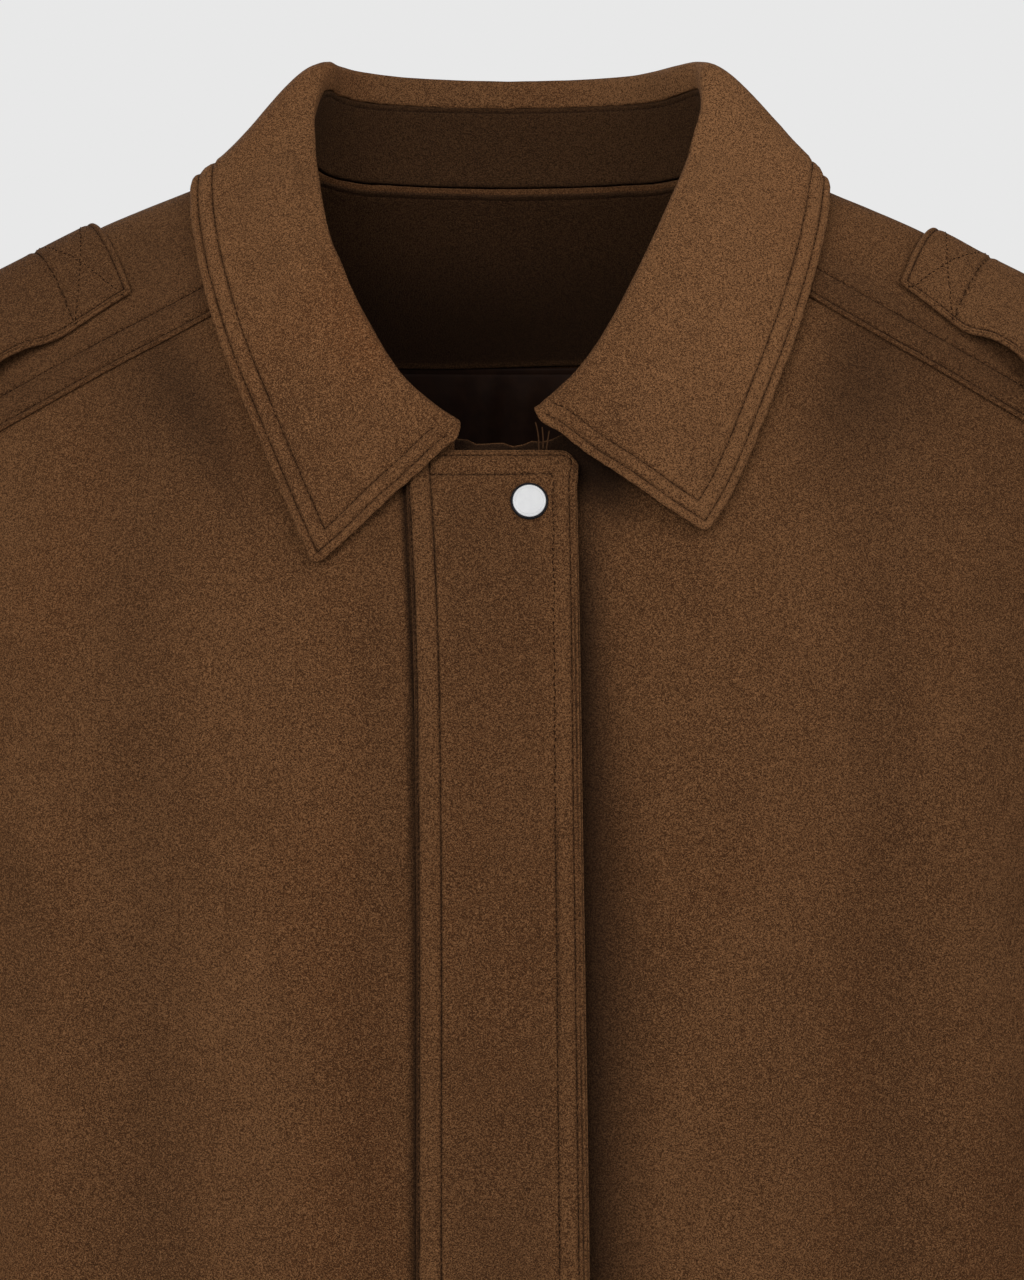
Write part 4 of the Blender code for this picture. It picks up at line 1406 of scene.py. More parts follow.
@dataclass
class BodyPanels:
    """The two fronts and the back, with the laps of the forward shoulder seams, armhole rows and hem."""

    finishes: Finishes
    wall: float = 2.0
    step: float = 4.2
    front_edges: dict[Side, float] = field(default_factory=lambda: {Side.RIGHT: 22.0, Side.LEFT: -26.0})
    top_dip: Row = (2.6, 30.0)  # how far the neckline dips behind the placket, and over what width
    neck_rag: tuple[Row, ...] = ((0.9, 2.3, 0.0), (0.6, 1.1, 1.0))  # its waves: height, length, start
    underlap_sink: float = 4.0
    underlap_x: Row = (34.0, 96.0)  # where the sunk part of the left front rises, from and to
    tuck: float = 4.5  # how far the fronts run under the shoulder laps
    lap_fade: Row = (7.0, 34.0)  # where the lap's lift begins to fade and where it ends
    lap_lift: float = 1.5
    armhole_rows: Row = (3.0, 11.5)
    shoulder_rows: Row = (2.8, 16.4)
    hem_row: float = 26.0
    lap_thread: Thread = Thread(radius=0.32, length=2.0)
    scoop_turns: Row = (90, 67.5, 45, 22.5, 0)
    armholes: dict[Face, tuple[Row, Row]] = field(
        # shares of the way up, five for the scoop's turns and then the heights above it, the last one the top
        default_factory=lambda: {
            Face.FRONT: ((0, 0.17, 0.35, 0.53, 0.71, 0.88, 1), (-180.0,)),
            Face.BACK: ((0, 0.13, 0.26, 0.39, 0.51, 0.638, 0.82, 1), (-170.0, -110.0)),
        }
    )
    slack: tuple[Row, ...] = ((0.35, 34, 5), (0.14, 11, 6))  # unevenness: height, size, seed
    # painted shade and painted light: soft bands of shading along the drapes, and painted shadows beside the
    # collar's leaves and the placket's top
    bands: tuple[Band, ...] = (
        Band(-150, 22, 0.16), Band(-94, 26, -0.16), Band(-55, 12, 0.14), Band(-215, 24, -0.06),
        Band(104, 26, -0.1), Band(152, 22, 0.16), Band(205, 24, 0.1),
        Band(-122, 16, 0.5, -128, 46, -0.45), Band(-150, 30, 0.18, -105, 26), Band(36, 12, 1.0, -137, 20),
        Band(136, 20, 0.28, -112, 44, 0.4), Band(164, 34, 0.26, -108, 30),
    )
    # painted shadows on the shoulders beside the straps' ends
    shoulder_shadows: tuple[Band, ...] = (Band(-152, 20, 0.34, -50, 26), Band(182, 16, 0.2, -60, 30))
    shoulder_shade: float = 0.3  # painted shade: how much darker the laps are towards the forward seam
    ridge_highlight: float = 0.75  # painted highlight: how much lighter the shoulders are along their ridges
    front_creasing: float = 1.2
    back_creasing: Row = (1.7, 1.6)  # the strength of the back's creases, and more below the lining
    creases: dict[str, tuple[Crease, ...]] = field(
        default_factory=lambda: {
            "front_right": (
                Crease((-226, -196), (-150, -262), 9, 1.6, 8),
                Crease((-232, -236), (-168, -330), 11, 1.8, -9),
                Crease((-240, -300), (-205, -430), 13, 1.5, 6),
                Crease((-118, -150), (-96, -235), 16, 0.9, -5),
                Crease((-70, -420), (-120, -560), 15, 1.7, 12),
                Crease((-210, -520), (-168, -655), 14, 1.9, -8),
            ),
            "front_left": (
                Crease((226, -190), (158, -250), 9, -1.5, -8),
                Crease((234, -240), (176, -322), 11, 1.7, 9),
                Crease((238, -318), (196, -440), 13, 1.4, -7),
                Crease((112, -150), (100, -240), 17, 0.8, 6),
                Crease((64, -430), (96, -600), 15, 1.6, -10),
                Crease((206, -500), (186, -650), 14, 2.0, 8),
            ),
            "back": (
                Crease((-228, -180), (-120, -238), 10, 1.9, 12),
                Crease((230, -172), (132, -250), 11, 1.8, -14),
                Crease((-236, -236), (-150, -330), 12, 2.0, -10),
                Crease((236, -244), (140, -318), 12, 1.8, 10),
                Crease((-60, -96), (48, -104), 13, 0.9, 8),
                Crease((-150, -392), (20, -430), 16, 1.5, 14),
                Crease((176, -380), (36, -452), 15, 1.7, -12),
                Crease((-206, -470), (-150, -650), 15, 2.0, 9),
                Crease((96, -500), (128, -655), 16, 1.9, -8),
                Crease((-24, -520), (-52, -655), 15, 1.6, 6),
            ),
        }
    )

    def armhole(self, face: Face, side: Side, share: Array) -> tuple[Array, Array]:
        """Follow an armhole's edge.

        Args:
            face: Its front or its back half.
            side: Which armhole.
            share: Shares of the way up.

        Returns:
            The x and z of each point.
        """
        shares, heights = self.armholes[face]
        x, z = BODY.scoop(face, np.interp(share, shares[:5], self.scoop_turns))
        lap_z = float(BODY.seam_z(side, BODY.armhole_x)) + self.tuck
        ridge_z = float(BODY.ridge_z(BODY.armhole_x))
        top = lap_z if face == Face.FRONT else ridge_z
        upper = np.interp(share, shares[4:], (BODY.scoop_top, *heights, top))
        return np.where(share > shares[4], BODY.armhole_x, x), np.where(share > shares[4], upper, z)

    def lower_rows(self) -> Array:
        """Return the heights of the rows from the hem up to the armholes."""
        spacing = Spacing(self.step, start=(self.hem_row,), end_free=False)
        return BODY.hem_z + spacing.places(np.array([BODY.base_z - BODY.hem_z]))[:, 0]

    def columns(self, start: float, middle: float, end: float) -> tuple[Array, int]:
        """Place close columns across a panel.

        Args:
            start: The x of the first.
            middle: The x of one between.
            end: The x of the last.

        Returns:
            Each column's x, and the middle one's number.
        """
        inner = start + (middle - start) * np.linspace(0, 1, 40)
        outer = middle + (end - middle) * (1 - (1 - np.linspace(0, 1, 150)) ** 3)
        return np.concatenate([inner, outer[1:]]), len(inner) - 1

    def front_grid(self, side: Side) -> Array:
        """Lay out a front.

        Args:
            side: Which front.

        Returns:
            Its grid, rows from the hem up and columns from the front edge out.
        """
        corner, start = BODY.seam_corner(side), self.front_edges[side]
        rows = []
        for z in self.lower_rows():
            x, middle = self.columns(start, corner, float(BODY.half_width(z)))
            rows.append(BODY.points(side * x, z, Face.FRONT))
        lower = len(rows)
        top_z = float(BODY.seam_z(side, BODY.armhole_x)) + self.tuck
        dip, width = self.top_dip
        for share in np.linspace(0, 1, 110)[1:]:
            edge_x, edge_z = (float(value) for value in self.armhole(Face.FRONT, side, np.array(share)))
            arm_share = (edge_z - BODY.base_z) / (top_z - BODY.base_z)
            x, _ = self.columns(start, corner, edge_x)
            seam = BODY.seam_z(side, x) + self.tuck * smoothstep(x, corner, corner + 8)
            waves = (height * np.sin(side * x / length + begin) for height, length, begin in self.neck_rag)
            ragged = sum(waves)
            neck = BODY.neck_front_z(x) - (dip + ragged) * bump_at(x, width) * (1 - smoothstep(x, 12, 28))
            top = np.where(np.abs(x) < corner, neck, seam)
            weight = smoothstep(x, corner, edge_x) ** 1.5
            z = BODY.base_z + (top - BODY.base_z) * (share + (arm_share - share) * weight)
            rows.append(BODY.points(side * x, z, Face.FRONT))
        grid = np.array(rows)
        if side == Side.LEFT:
            x, z = grid[..., 0], grid[..., 2]
            behind = np.maximum(smoothstep(z, -128.0, -146.0), 1 - smoothstep(x, -20.0, 4.0))
            grid[..., 1] += self.underlap_sink * (1 - smoothstep(x, *self.underlap_x)) * behind
        outer = respace(grid[:, middle:], 1, Spacing(self.step, end=self.armhole_rows, start_free=False))
        inner = respace(grid[:, : middle + 1], 1, Spacing(self.step, end_free=False))
        grid = joined(inner, outer, 1)
        return joined(grid[:lower], respace(grid[lower - 1 :], 0, Spacing(self.step, start_free=False)), 0)

    def front(self, side: Side, name: str) -> Shell:
        """Build a front.

        Args:
            side: Which front.
            name: Its node's name.

        Returns:
            Its shell, with its creases and its darker and lighter places.
        """
        grid, corner = self.front_grid(side), BODY.seam_corner(side)
        shell = Shell(f"{name}_cloth", grid, self.wall, BODY.outward(grid), tuple(Edge))
        side_x, height, below_top = side * grid[..., 0], grid[..., 2], shell.far[Edge.LAST_ROW]
        under_lap = (1 - smoothstep(below_top, 3.0, 11.0)) * smoothstep(side_x, corner - 2, corner + 6)
        if side == Side.LEFT:
            # painted shadow beside the placket's edge, wider further down
            width = 9.0 + 11.0 * smoothstep(height, -190, -330)
            placket_shadow = bump_at(side_x - 31, width) * (0.7 + 0.3 * smoothstep(height, -150, -215))
            shell.darken(0.85 * placket_shadow)
            shell.move(-3.2 * bump_at(side_x - 42, 13) * smoothstep(height, -160, -260))
            # painted shadow under the point of the collar leaf
            collar_point_shadow = smoothstep(height, -178, -142) * (1 - smoothstep(side_x, 42, 64))
            shell.darken(collar_point_shadow)
        else:
            # painted shadow line along the placket's left edge
            placket_edge = Curve.through(Placket.sections, 1)(height)
            beside = bump_at(grid[..., 0] - placket_edge + 0.8, 1.9)
            shell.darken(beside * (1 - smoothstep(height, -132, -126)))
        # painted shade on the neckline's strip at the centre front, under the collar
        behind_placket = (1 - smoothstep(below_top, 2, 16)) * (1 - smoothstep(side_x, 14, 26))
        shell.darken(0.85 * behind_placket)
        # painted shade and painted light from the bands
        tone = sum(band.tone(shell.grid) for band in self.bands if band.x * side > 0)
        shell.darken(tone)
        shell.highlight_and_wear = np.maximum(shell.highlight_and_wear, -tone)
        creased = sum(crease.out(shell.grid[..., 0], shell.grid[..., 2]) for crease in self.creases[name])
        shell.move(self.front_creasing * creased + uneven(shell.grid, *self.slack) - 0.9 * under_lap)
        return shell

    def lap(self, side: Side, ridge: Array) -> Array:
        """Lay out the back's lap over a shoulder.

        Args:
            side: Which shoulder.
            ridge: The x of its columns along the ridge, from the neck out.

        Returns:
            Its rows, from just past the ridge forward to the seam.
        """
        shares = (np.abs(ridge) - BODY.neck_half_width) / (BODY.armhole_x - BODY.neck_half_width)
        close = []
        for share in np.linspace(0, 1, 60):
            at_neck = float(BODY.neck_front_across(BODY.over_ridge_z(side, BODY.neck_half_width, share)))
            at_neck = at_neck + (BODY.seam_corner(side) - at_neck) * share**4
            x = at_neck + (BODY.armhole_x - at_neck) * shares
            close.append(BODY.points(side * x, BODY.over_ridge_z(side, x, share), Face.FRONT))
        return respace(np.array(close), 0, Spacing(self.step, end=self.shoulder_rows, start_free=False))[1:]

    def back_grid(self) -> tuple[Array, int, int, int]:
        """Lay out the back with both of its laps.

        Returns:
            Its grid, how many rows it has up to the neck and the ridges, and the columns at its right and its
            left shoulder point.
        """
        rows = []
        for z in self.lower_rows():
            x, middle = self.columns(0, BODY.neck_half_width, float(BODY.half_width(z)))
            rows.append(BODY.points(x, z, Face.BACK))
        lower = len(rows)
        arm_height = float(BODY.ridge_z(BODY.armhole_x)) - BODY.base_z
        for share in np.linspace(0, 1, 130)[1:]:
            edge_x, edge_z = (float(value) for value in self.armhole(Face.BACK, Side.LEFT, np.array(share)))
            x, _ = self.columns(0, BODY.neck_half_width, edge_x)
            top = np.where(x < BODY.neck_half_width, BODY.neck_back_z(x), BODY.ridge_z(x))
            full = BODY.ridge_z(x) - BODY.base_z
            rise = np.sin(share * np.arcsin(np.clip((top - BODY.base_z) / full, 0, 1)))
            arm_rise = (edge_z - BODY.base_z) / arm_height
            rise = rise + (arm_rise - rise) * smoothstep(x, BODY.neck_half_width, edge_x) ** 1.5
            rows.append(BODY.points(x, BODY.base_z + full * rise, Face.BACK))
        half = np.array(rows)
        outer = respace(half[:, middle:], 1, Spacing(self.step, end=self.armhole_rows, start_free=False))
        inner = respace(half[:, : middle + 1], 1, Spacing(self.step, start_free=False, end_free=False))
        half = joined(inner, outer, 1)
        upper = respace(half[lower - 1 :], 0, Spacing(self.step, start_free=False, end_free=False))
        half = joined(half[:lower], upper, 0)
        main = np.concatenate([half[:, :0:-1] * np.array([-1, 1, 1]), half], axis=1)
        main[..., 1] = BODY.body_y(main[..., 0], main[..., 2], Face.BACK)
        centre, reach = main.shape[1] // 2, inner.shape[1] - 1
        right, left = centre - reach, centre + reach
        outwards = {Side.RIGHT: slice(right, None, -1), Side.LEFT: slice(left, None)}
        laps = {side: self.lap(side, main[-1, columns, 0]) for side, columns in outwards.items()}
        extra = np.repeat(main[-1:], max(len(lap) for lap in laps.values()), axis=0)
        for side, lap in laps.items():
            extra[:, outwards[side]] = np.concatenate([lap[:1]] * (len(extra) - len(lap)) + [lap])
        return np.concatenate([main, extra]), len(main), right, left

    def back(self) -> tuple[Shell, int, int]:
        """Build the back with the laps that come over the shoulders.

        Returns:
            Its shell, and the columns at its right and its left shoulder point.
        """
        grid, main_rows, right, left = self.back_grid()
        cells = np.ones((grid.shape[0] - 1, grid.shape[1] - 1), bool)
        cells[main_rows - 1 :, right:left] = False
        shell = Shell("back_cloth", grid, self.wall, BODY.outward(grid), tuple(Edge), cells=cells)
        self.back_normals(shell, main_rows, right, left)
        row, lap = np.arange(len(grid))[:, None], shell.far[Edge.LAST_ROW]
        x, z = grid[:main_rows, :, 0], grid[:main_rows, :, 2]
        strength, more = self.back_creasing
        creased = sum(crease.out(x, z) for crease in self.creases["back"])
        height = self.lap_lift * (1 - smoothstep(lap, *self.lap_fade))
        height[:main_rows] = (strength + more * smoothstep(-z, 350, 420)) * creased * smoothstep(-z, 30, 90)
        height += uneven(grid, *self.slack)
        # painted highlight along the ridges, painted shade on the laps, painted shadows beside the straps'
        # ends
        shell.highlight_and_wear += self.ridge_highlight * bump_at(row - main_rows, 14)
        shell.darken(self.shoulder_shade * (1 - smoothstep(lap, 14, 40)))
        strap_shadows = sum(band.tone(grid) for band in self.shoulder_shadows) * (row >= main_rows - 12)
        shell.darken(strap_shadows)
        shell.highlight_and_wear = shell.highlight_and_wear * (1 - np.clip(2.5 * strap_shadows, 0, 1))
        shell.move(height)
        self.back_normals(shell, main_rows, right, left)
        return shell, right, left

    def back_normals(self, shell: Shell, main_rows: int, right: int, left: int) -> None:
        """Work out the back's normals part by part, because its upper grid has a gap at the neck.

        Args:
            shell: The back.
            main_rows: How many rows it has up to the neck and the ridges.
            right: The column at the right shoulder point.
            left: The column at the left shoulder point.
        """
        grid, outside = shell.grid, shell.outside
        normals = grid_normals(grid, outside)
        normals[:main_rows] = grid_normals(grid[:main_rows], outside[:main_rows])
        for columns in (slice(None, right + 1), slice(left, None)):
            tall = grid_normals(grid[:, columns], outside[:, columns])
            normals[main_rows - 2 :, columns] = tall[main_rows - 2 :]
        shell.normals = normals
        neck_side = np.full(grid.shape[:2], 1e3)
        across = shell.far[Edge.FIRST_COLUMN]
        laps = slice(main_rows - 1, None)
        neck_side[laps, left:] = across[laps, left:] - across[laps, left : left + 1]
        neck_side[laps, : right + 1] = across[laps, right : right + 1] - across[laps, : right + 1]
        shell.free_distance = np.minimum(shell.free_distance, neck_side)

    def build(self) -> None:
        """Build and dress the fronts and the back."""
        seams = Seamwork("body_stitching", 31)
        suede = self.finishes.use(self.finishes.body)
        sheets = (
            (Side.RIGHT, "front_right", (0.31, 0.62), 0.158),
            (Side.LEFT, "front_left", (0.35, 0.62), 0.181),
        )
        for side, name, flat, area in sheets:
            shell = self.front(side, name)
            self.sew(shell, seams, (Edge.LAST_COLUMN,))
            piece = claim(shell.build(suede), Slot.SUEDE, name)
        shell, right, left = self.back()
        self.sew(shell, seams, (Edge.FIRST_COLUMN, Edge.LAST_COLUMN))
        for row in self.shoulder_rows:
            shell.groove(Edge.LAST_ROW, row, 0.7, 0.55, dark=0.75)
        shell.relief[shell.free_distance < 0.05] = 0
        across = shell.far[Edge.FIRST_COLUMN][-1]
        for row in self.shoulder_rows:
            seams.add(shell.trace((-row, 0.8), (-row, float(across[right]) - 1.0)), self.lap_thread)
            seams.add(shell.trace((-row, float(across[left]) + 1.0), (-row, -0.8)), self.lap_thread)
        piece = claim(shell.build(suede), Slot.SUEDE, "back")
        claim(seams.build(self.finishes.use(self.finishes.thread)), Slot.SUEDE)

    def sew(self, shell: Shell, seams: Seamwork, sides: tuple[Edge, ...]) -> None:
        """Press and sew the hem and the armhole rows.

        Args:
            shell: The panel.
            seams: The stitching that it adds to.
            sides: Its edges with armholes.
        """
        shell.groove(Edge.FIRST_ROW, self.hem_row, 0.5, 0.6)
        seams.add(shell.trace((self.hem_row, 1.0), (self.hem_row, -1.0)), Thread(pitch=3.1))
        shell.highlight_and_wear += 0.5 * bump_at(shell.far[Edge.FIRST_ROW], 2.0)
        start = BODY.base_z - BODY.hem_z + 5.0
        for edge in sides:
            sign = -1 if edge == Edge.LAST_COLUMN else 1
            for row in self.armhole_rows:
                shell.groove(edge, row, 0.4, 0.5, start=start)
                seams.add(shell.trace((start, sign * row), (-1.5, sign * row)))


@dataclass
class Sleeves:
    """The two sleeves, which carry on from the armholes and bend softly at the elbow."""

    finishes: Finishes
    wall: float = 2.0
    step: float = 4.4
    around: int = 96
    cuff_row: float = 24.0
    creasing: float = 2.0
    rings: tuple[Row, ...] = (
        # inner_x, inner_z, outer_x, outer_z, half_depth, forward
        (256, -303, 283, -100, 60, 0),
        (261, -325, 325, -160, 64, 2),
        (267, -360, 356, -235, 64, 4),
        (273, -405, 376, -312, 61, 7),
        (280, -460, 388, -390, 57, 12),
        (289, -515, 397, -468, 52, 18),
        (299, -565, 403, -540, 47, 25),
        (312, -612, 408, -602, 42, 32),
    )
    creases: tuple[Crease, ...] = (
        Crease((20, 60), (150, 104), 9, 1.9, 10),
        Crease((300, 54), (215, 110), 9, 1.8, -8),
        Crease((40, 150), (150, 130), 8, 1.7, 8),
        Crease((60, 236), (168, 262), 10, 2.3, -8),
        Crease((196, 250), (300, 228), 10, 2.1, 9),
        Crease((30, 288), (150, 300), 9, 1.9, 7),
        Crease((210, 316), (330, 292), 10, 2.0, -7),
        Crease((90, 350), (210, 372), 9, 1.7, 6),
        Crease((250, 410), (360, 396), 9, 1.5, -6),
        Crease((40, 440), (150, 466), 9, 1.7, 8),
        Crease((180, 476), (280, 452), 8, 1.5, 5),
    )

    def armhole(self, side: Side, panels: BodyPanels) -> Array:
        """Follow an armhole from the ridge down the front, under the arm and up the back.

        Args:
            side: Which sleeve's.
            panels: The body.

        Returns:
            Points round it.
        """
        shares = np.linspace(0, 1, 60)
        crest = BODY.over_ridge_z(side, BODY.armhole_x, np.linspace(0, 1, 24))
        x, z = panels.armhole(Face.FRONT, side, shares[::-1])
        front = BODY.points(side * x, np.minimum(z, float(BODY.seam_z(side, BODY.armhole_x))), Face.FRONT)
        x, z = panels.armhole(Face.BACK, side, shares)
        back = BODY.points(side * x, z, Face.BACK)
        loop = np.concatenate([BODY.points(side * BODY.armhole_x, crest, Face.FRONT), front[1:], back[1:-1]])
        return loop[np.linalg.norm(np.roll(loop, -1, axis=0) - loop, axis=1) > 1e-6]

    def grid(self, side: Side, panels: BodyPanels) -> Array:
        """Lay out a sleeve.

        Args:
            side: Which sleeve.
            panels: The body.

        Returns:
            A close grid, rows from the armhole to the cuff and columns round it.
        """
        loop = self.armhole(side, panels)
        ring = np.concatenate([loop, loop[:1]])
        far = lengths_along(ring, 0)
        loop = read_line(np.linspace(0, far[-1], self.around + 1)[:-1], far, ring)
        for _ in range(2):
            x = loop[:, 0]
            loop[:, 0] = (np.roll(x, 1) + 2 * x + np.roll(x, -1)) / 4
        top_z, bottom_z = loop[:, 2].max(), loop[:, 2].min()
        middle, half = (top_z + bottom_z) / 2, (top_z - bottom_z) / 2
        turn = np.arctan2(loop[:, 1] / np.abs(loop[:, 1]).max(), (loop[:, 2] - middle) / half)
        stack = [loop]
        for inner_x, inner_z, outer_x, outer_z, depth, forward in self.rings:
            x = (outer_x + inner_x) / 2 + (outer_x - inner_x) / 2 * np.cos(turn)
            z = (outer_z + inner_z) / 2 + (outer_z - inner_z) / 2 * np.cos(turn)
            stack.append(np.stack([side * x, depth * np.sin(turn) - forward, z], axis=-1))
        curve = Curve(np.arange(len(stack), dtype=float), np.array(stack))
        return curve(np.linspace(0, len(stack) - 1, 420))

    def build(self, panels: BodyPanels) -> None:
        """Build and dress both sleeves.

        Args:
            panels: The body, whose armholes they join.
        """
        seams = Seamwork("cuff_stitching", 41)
        suede = self.finishes.use(self.finishes.body)
        for side, name in ((Side.RIGHT, "sleeve_right"), (Side.LEFT, "sleeve_left")):
            grid = respace(self.grid(side, panels), 0, Spacing(self.step, end=(self.cuff_row,)))
            outside = grid - grid.mean(axis=1, keepdims=True)
            free = (Edge.FIRST_ROW, Edge.LAST_ROW)
            shell = Shell(f"{name}_cloth", grid, self.wall, outside, free, closed=True)
            around = np.cumsum(np.linalg.norm(np.diff(grid, axis=1, append=grid[:, :1]), axis=-1), axis=1)
            along = shell.far[Edge.FIRST_ROW]
            creased = sum(crease.out(around, along) for crease in self.creases[:: int(side)])
            head = 1.6 * bump_at(along - 7, 7)
            out = self.creasing * creased + head + uneven(grid, (0.5, 36, 7), (0.2, 12, 8))
            shell.move(smoothstep(along, 0, 5) * out)
            shell.groove(Edge.LAST_ROW, self.cuff_row, 0.5, 0.6)
            shell.highlight_and_wear += 0.6 * bump_at(shell.far[Edge.LAST_ROW], 2.0)
            seams.add(self.ring_row(shell, self.cuff_row), Thread(pitch=3.0))
            piece = claim(shell.build(suede), Slot.SUEDE, name)
        claim(seams.build(self.finishes.use(self.finishes.thread)), Slot.SUEDE)

    def ring_row(self, shell: Shell, distance: float) -> Stitches:
        """Follow a row of stitches round a sleeve.

        Args:
            shell: The sleeve.
            distance: How far the row lies from the cuff.

        Returns:
            Points round it and their normals.
        """
        index = int(round(shell.locate(-distance, 0.0)[0]))
        turn = np.append(np.arange(self.around), 0)
        normals = shell.normals[index, turn]
        out = normals * (shell.wall / 2 + shell.relief[index, turn])[:, None]
        return Stitches(shell.grid[index, turn] + out, normals)


# ------------------------------------------------------------------------------------------------ the collar


@dataclass
class Collar:
    """The stand sewn to the neckline and the leaf that turns down over it."""

    finishes: Finishes
    wall: float = 2.6
    seam_drop: float = 16.0
    seam_range: Row = (0.28, 0.56)
    stand_start: float = 0.9
    fold_radius: float = 7.0
    fold_clearance: float = 5.0
    leaf_clearance: float = 4.2
    stand_clearance: float = 7.6
    placket_clearance: float = 7.4
    edge_line: float = 1.5
    corner: float = 4.4
    outer_rows: Row = (3.8, 10.6)
    front_rows: Row = (3.8, 9.6)
    past_fold: float = 19.0  # where the front rows begin, from the stand seam
    stand_row: float = 2.6
    stand_thread: Thread = Thread(radius=0.2, length=1.7)
    neck_middle: Row = (0.0, -20.0, 0.0)
    inner_columns: int = 25
    end_pull: float = 8.0  # how far the stand stops short of the leaf's front edges
    front_growth: dict[Side, Row] = field(
        # how much further each front edge reaches, midway and at the point
        default_factory=lambda: {Side.RIGHT: (1.8, 2.4), Side.LEFT: (4.2, 3.2)}
    )
    bulge: dict[Side, float] = field(default_factory=lambda: {Side.RIGHT: -1.5, Side.LEFT: 6.0})
    shared: tuple[Row, ...] = (
        # along, fold_x, fold_y, fold_z, edge_x, edge_y, edge_z, edge_lift
        (0, 0, 70, 36, 0, 72, -33, 6),
        (26, 24, 68, 36, 34, 72, -32.5, 6),
        (51, 45, 59, 36.2, 65, 66, -30, 6),
        (73, 62, 43, 36.8, 94, 50, -24.5, 6),
        (92, 73.5, 25, 37.6, 116, 32, -18.5, 6.5),
    )
    fronts: dict[Side, tuple[Row, ...]] = field(
        default_factory=lambda: {
            Side.RIGHT: (
                (103, 77.5, 13, 38, 126.5, 17, -15.5, 6.5),
                (114, 82.5, 2.5, 33, 131.5, 1, -14.5, 3.6),
                (130, 86.5, -9, 18.5, 134.5, -10, -18, 6),
                (146, 86.2, -18, 4.5, 135, -20, -25.5, 5.5),
                (163, 84.7, -27, -10, 134.5, -30, -34, 5),
                (194, 78.3, -46, -38, 128.5, -48, -60, 5),
                (219, 68.7, -64, -60.5, 118, -66, -92, 5),
                (241, 58, -79, -82, 107, -80, -118, 5),
                (261, 45.4, -91, -102, 97, -90, -141, 5),
                (279, 32, -97.5, -115, 88.5, -98, -160.5, 5),
                (299, 18.9, -101.5, -124.5, 80, -104, -179.2, 5),
            ),
            Side.LEFT: (
                (103, 82.5, 13, 38, 126.5, 17, -15.5, 6.5),
                (114, 86, 2.5, 34, 133, 1, -14.5, 3.6),
                (130, 86.6, -8, 20, 136.5, -10, -18.5, 6),
                (145, 82.6, -17, 6.5, 136.6, -20, -25.5, 5.5),
                (160, 78, -26, -8, 135.5, -30, -34, 5),
                (191, 66, -42, -35, 129, -48, -58, 5),
                (219, 54, -60, -60, 119.5, -64, -86, 5),
                (241, 44, -75, -79, 109, -78, -112, 5),
                (258, 33.8, -87, -95.6, 100, -88, -134, 5),
                (277, 22.5, -95, -108, 92, -94, -151, 5),
                (306, 11.1, -101, -117.8, 83.3, -100, -165.3, 5),
            ),
        }
    )
    creases: tuple[Crease, ...] = (
        Crease((140, 40), (196, 78), 12, 0.8, 5),
        Crease((228, 42), (262, 96), 11, -0.7, -6),
        Crease((420, 40), (470, 84), 12, 0.7, 6),
        Crease((520, 44), (556, 90), 12, 0.8, -5),
        Crease((300, 30), (376, 44), 14, 0.6, 4),
    )

    def neckline(self, side: Side) -> tuple[Array, Array]:
        """Follow the neckline.

        Args:
            side: Which half.

        Returns:
            Points from the centre back to the centre front, and how far along each lies.
        """
        turn_x, turn_z = BODY.neck_front[6]
        back_x, end_x = np.linspace(0, BODY.neck_half_width - 0.05, 300), np.linspace(turn_x - 1, 0, 120)
        front_z = np.linspace(-0.5, turn_z, 300)
        path = np.concatenate([
            BODY.points(back_x, BODY.neck_back_z(back_x), Face.BACK),
            BODY.points(BODY.neck_front_across(front_z), front_z, Face.FRONT),
            BODY.points(end_x, BODY.neck_front_z(end_x), Face.FRONT),
        ])
        return path * np.array([side, 1, 1]), lengths_along(path, 0)

    def guides(self, side: Side, stations: Array) -> tuple[Array, Array, Array]:
        """Read the neckline, fold and edge of one half.

        Args:
            side: Which half.
            stations: Places along its table.

        Returns:
            The three lines' points.
        """
        columns = [curve(stations) for curve in curves_of(self.shared + self.fronts[side])]
        mirror = np.array([side, 1, 1])
        path, along = self.neckline(side)
        fold = BODY.settle(np.stack(columns[1:4], axis=-1) * mirror, self.fold_clearance, only_out=True)
        edge = BODY.settle(np.stack(columns[4:7], axis=-1) * mirror, columns[7])
        return read_line(columns[0], along, path), fold, edge

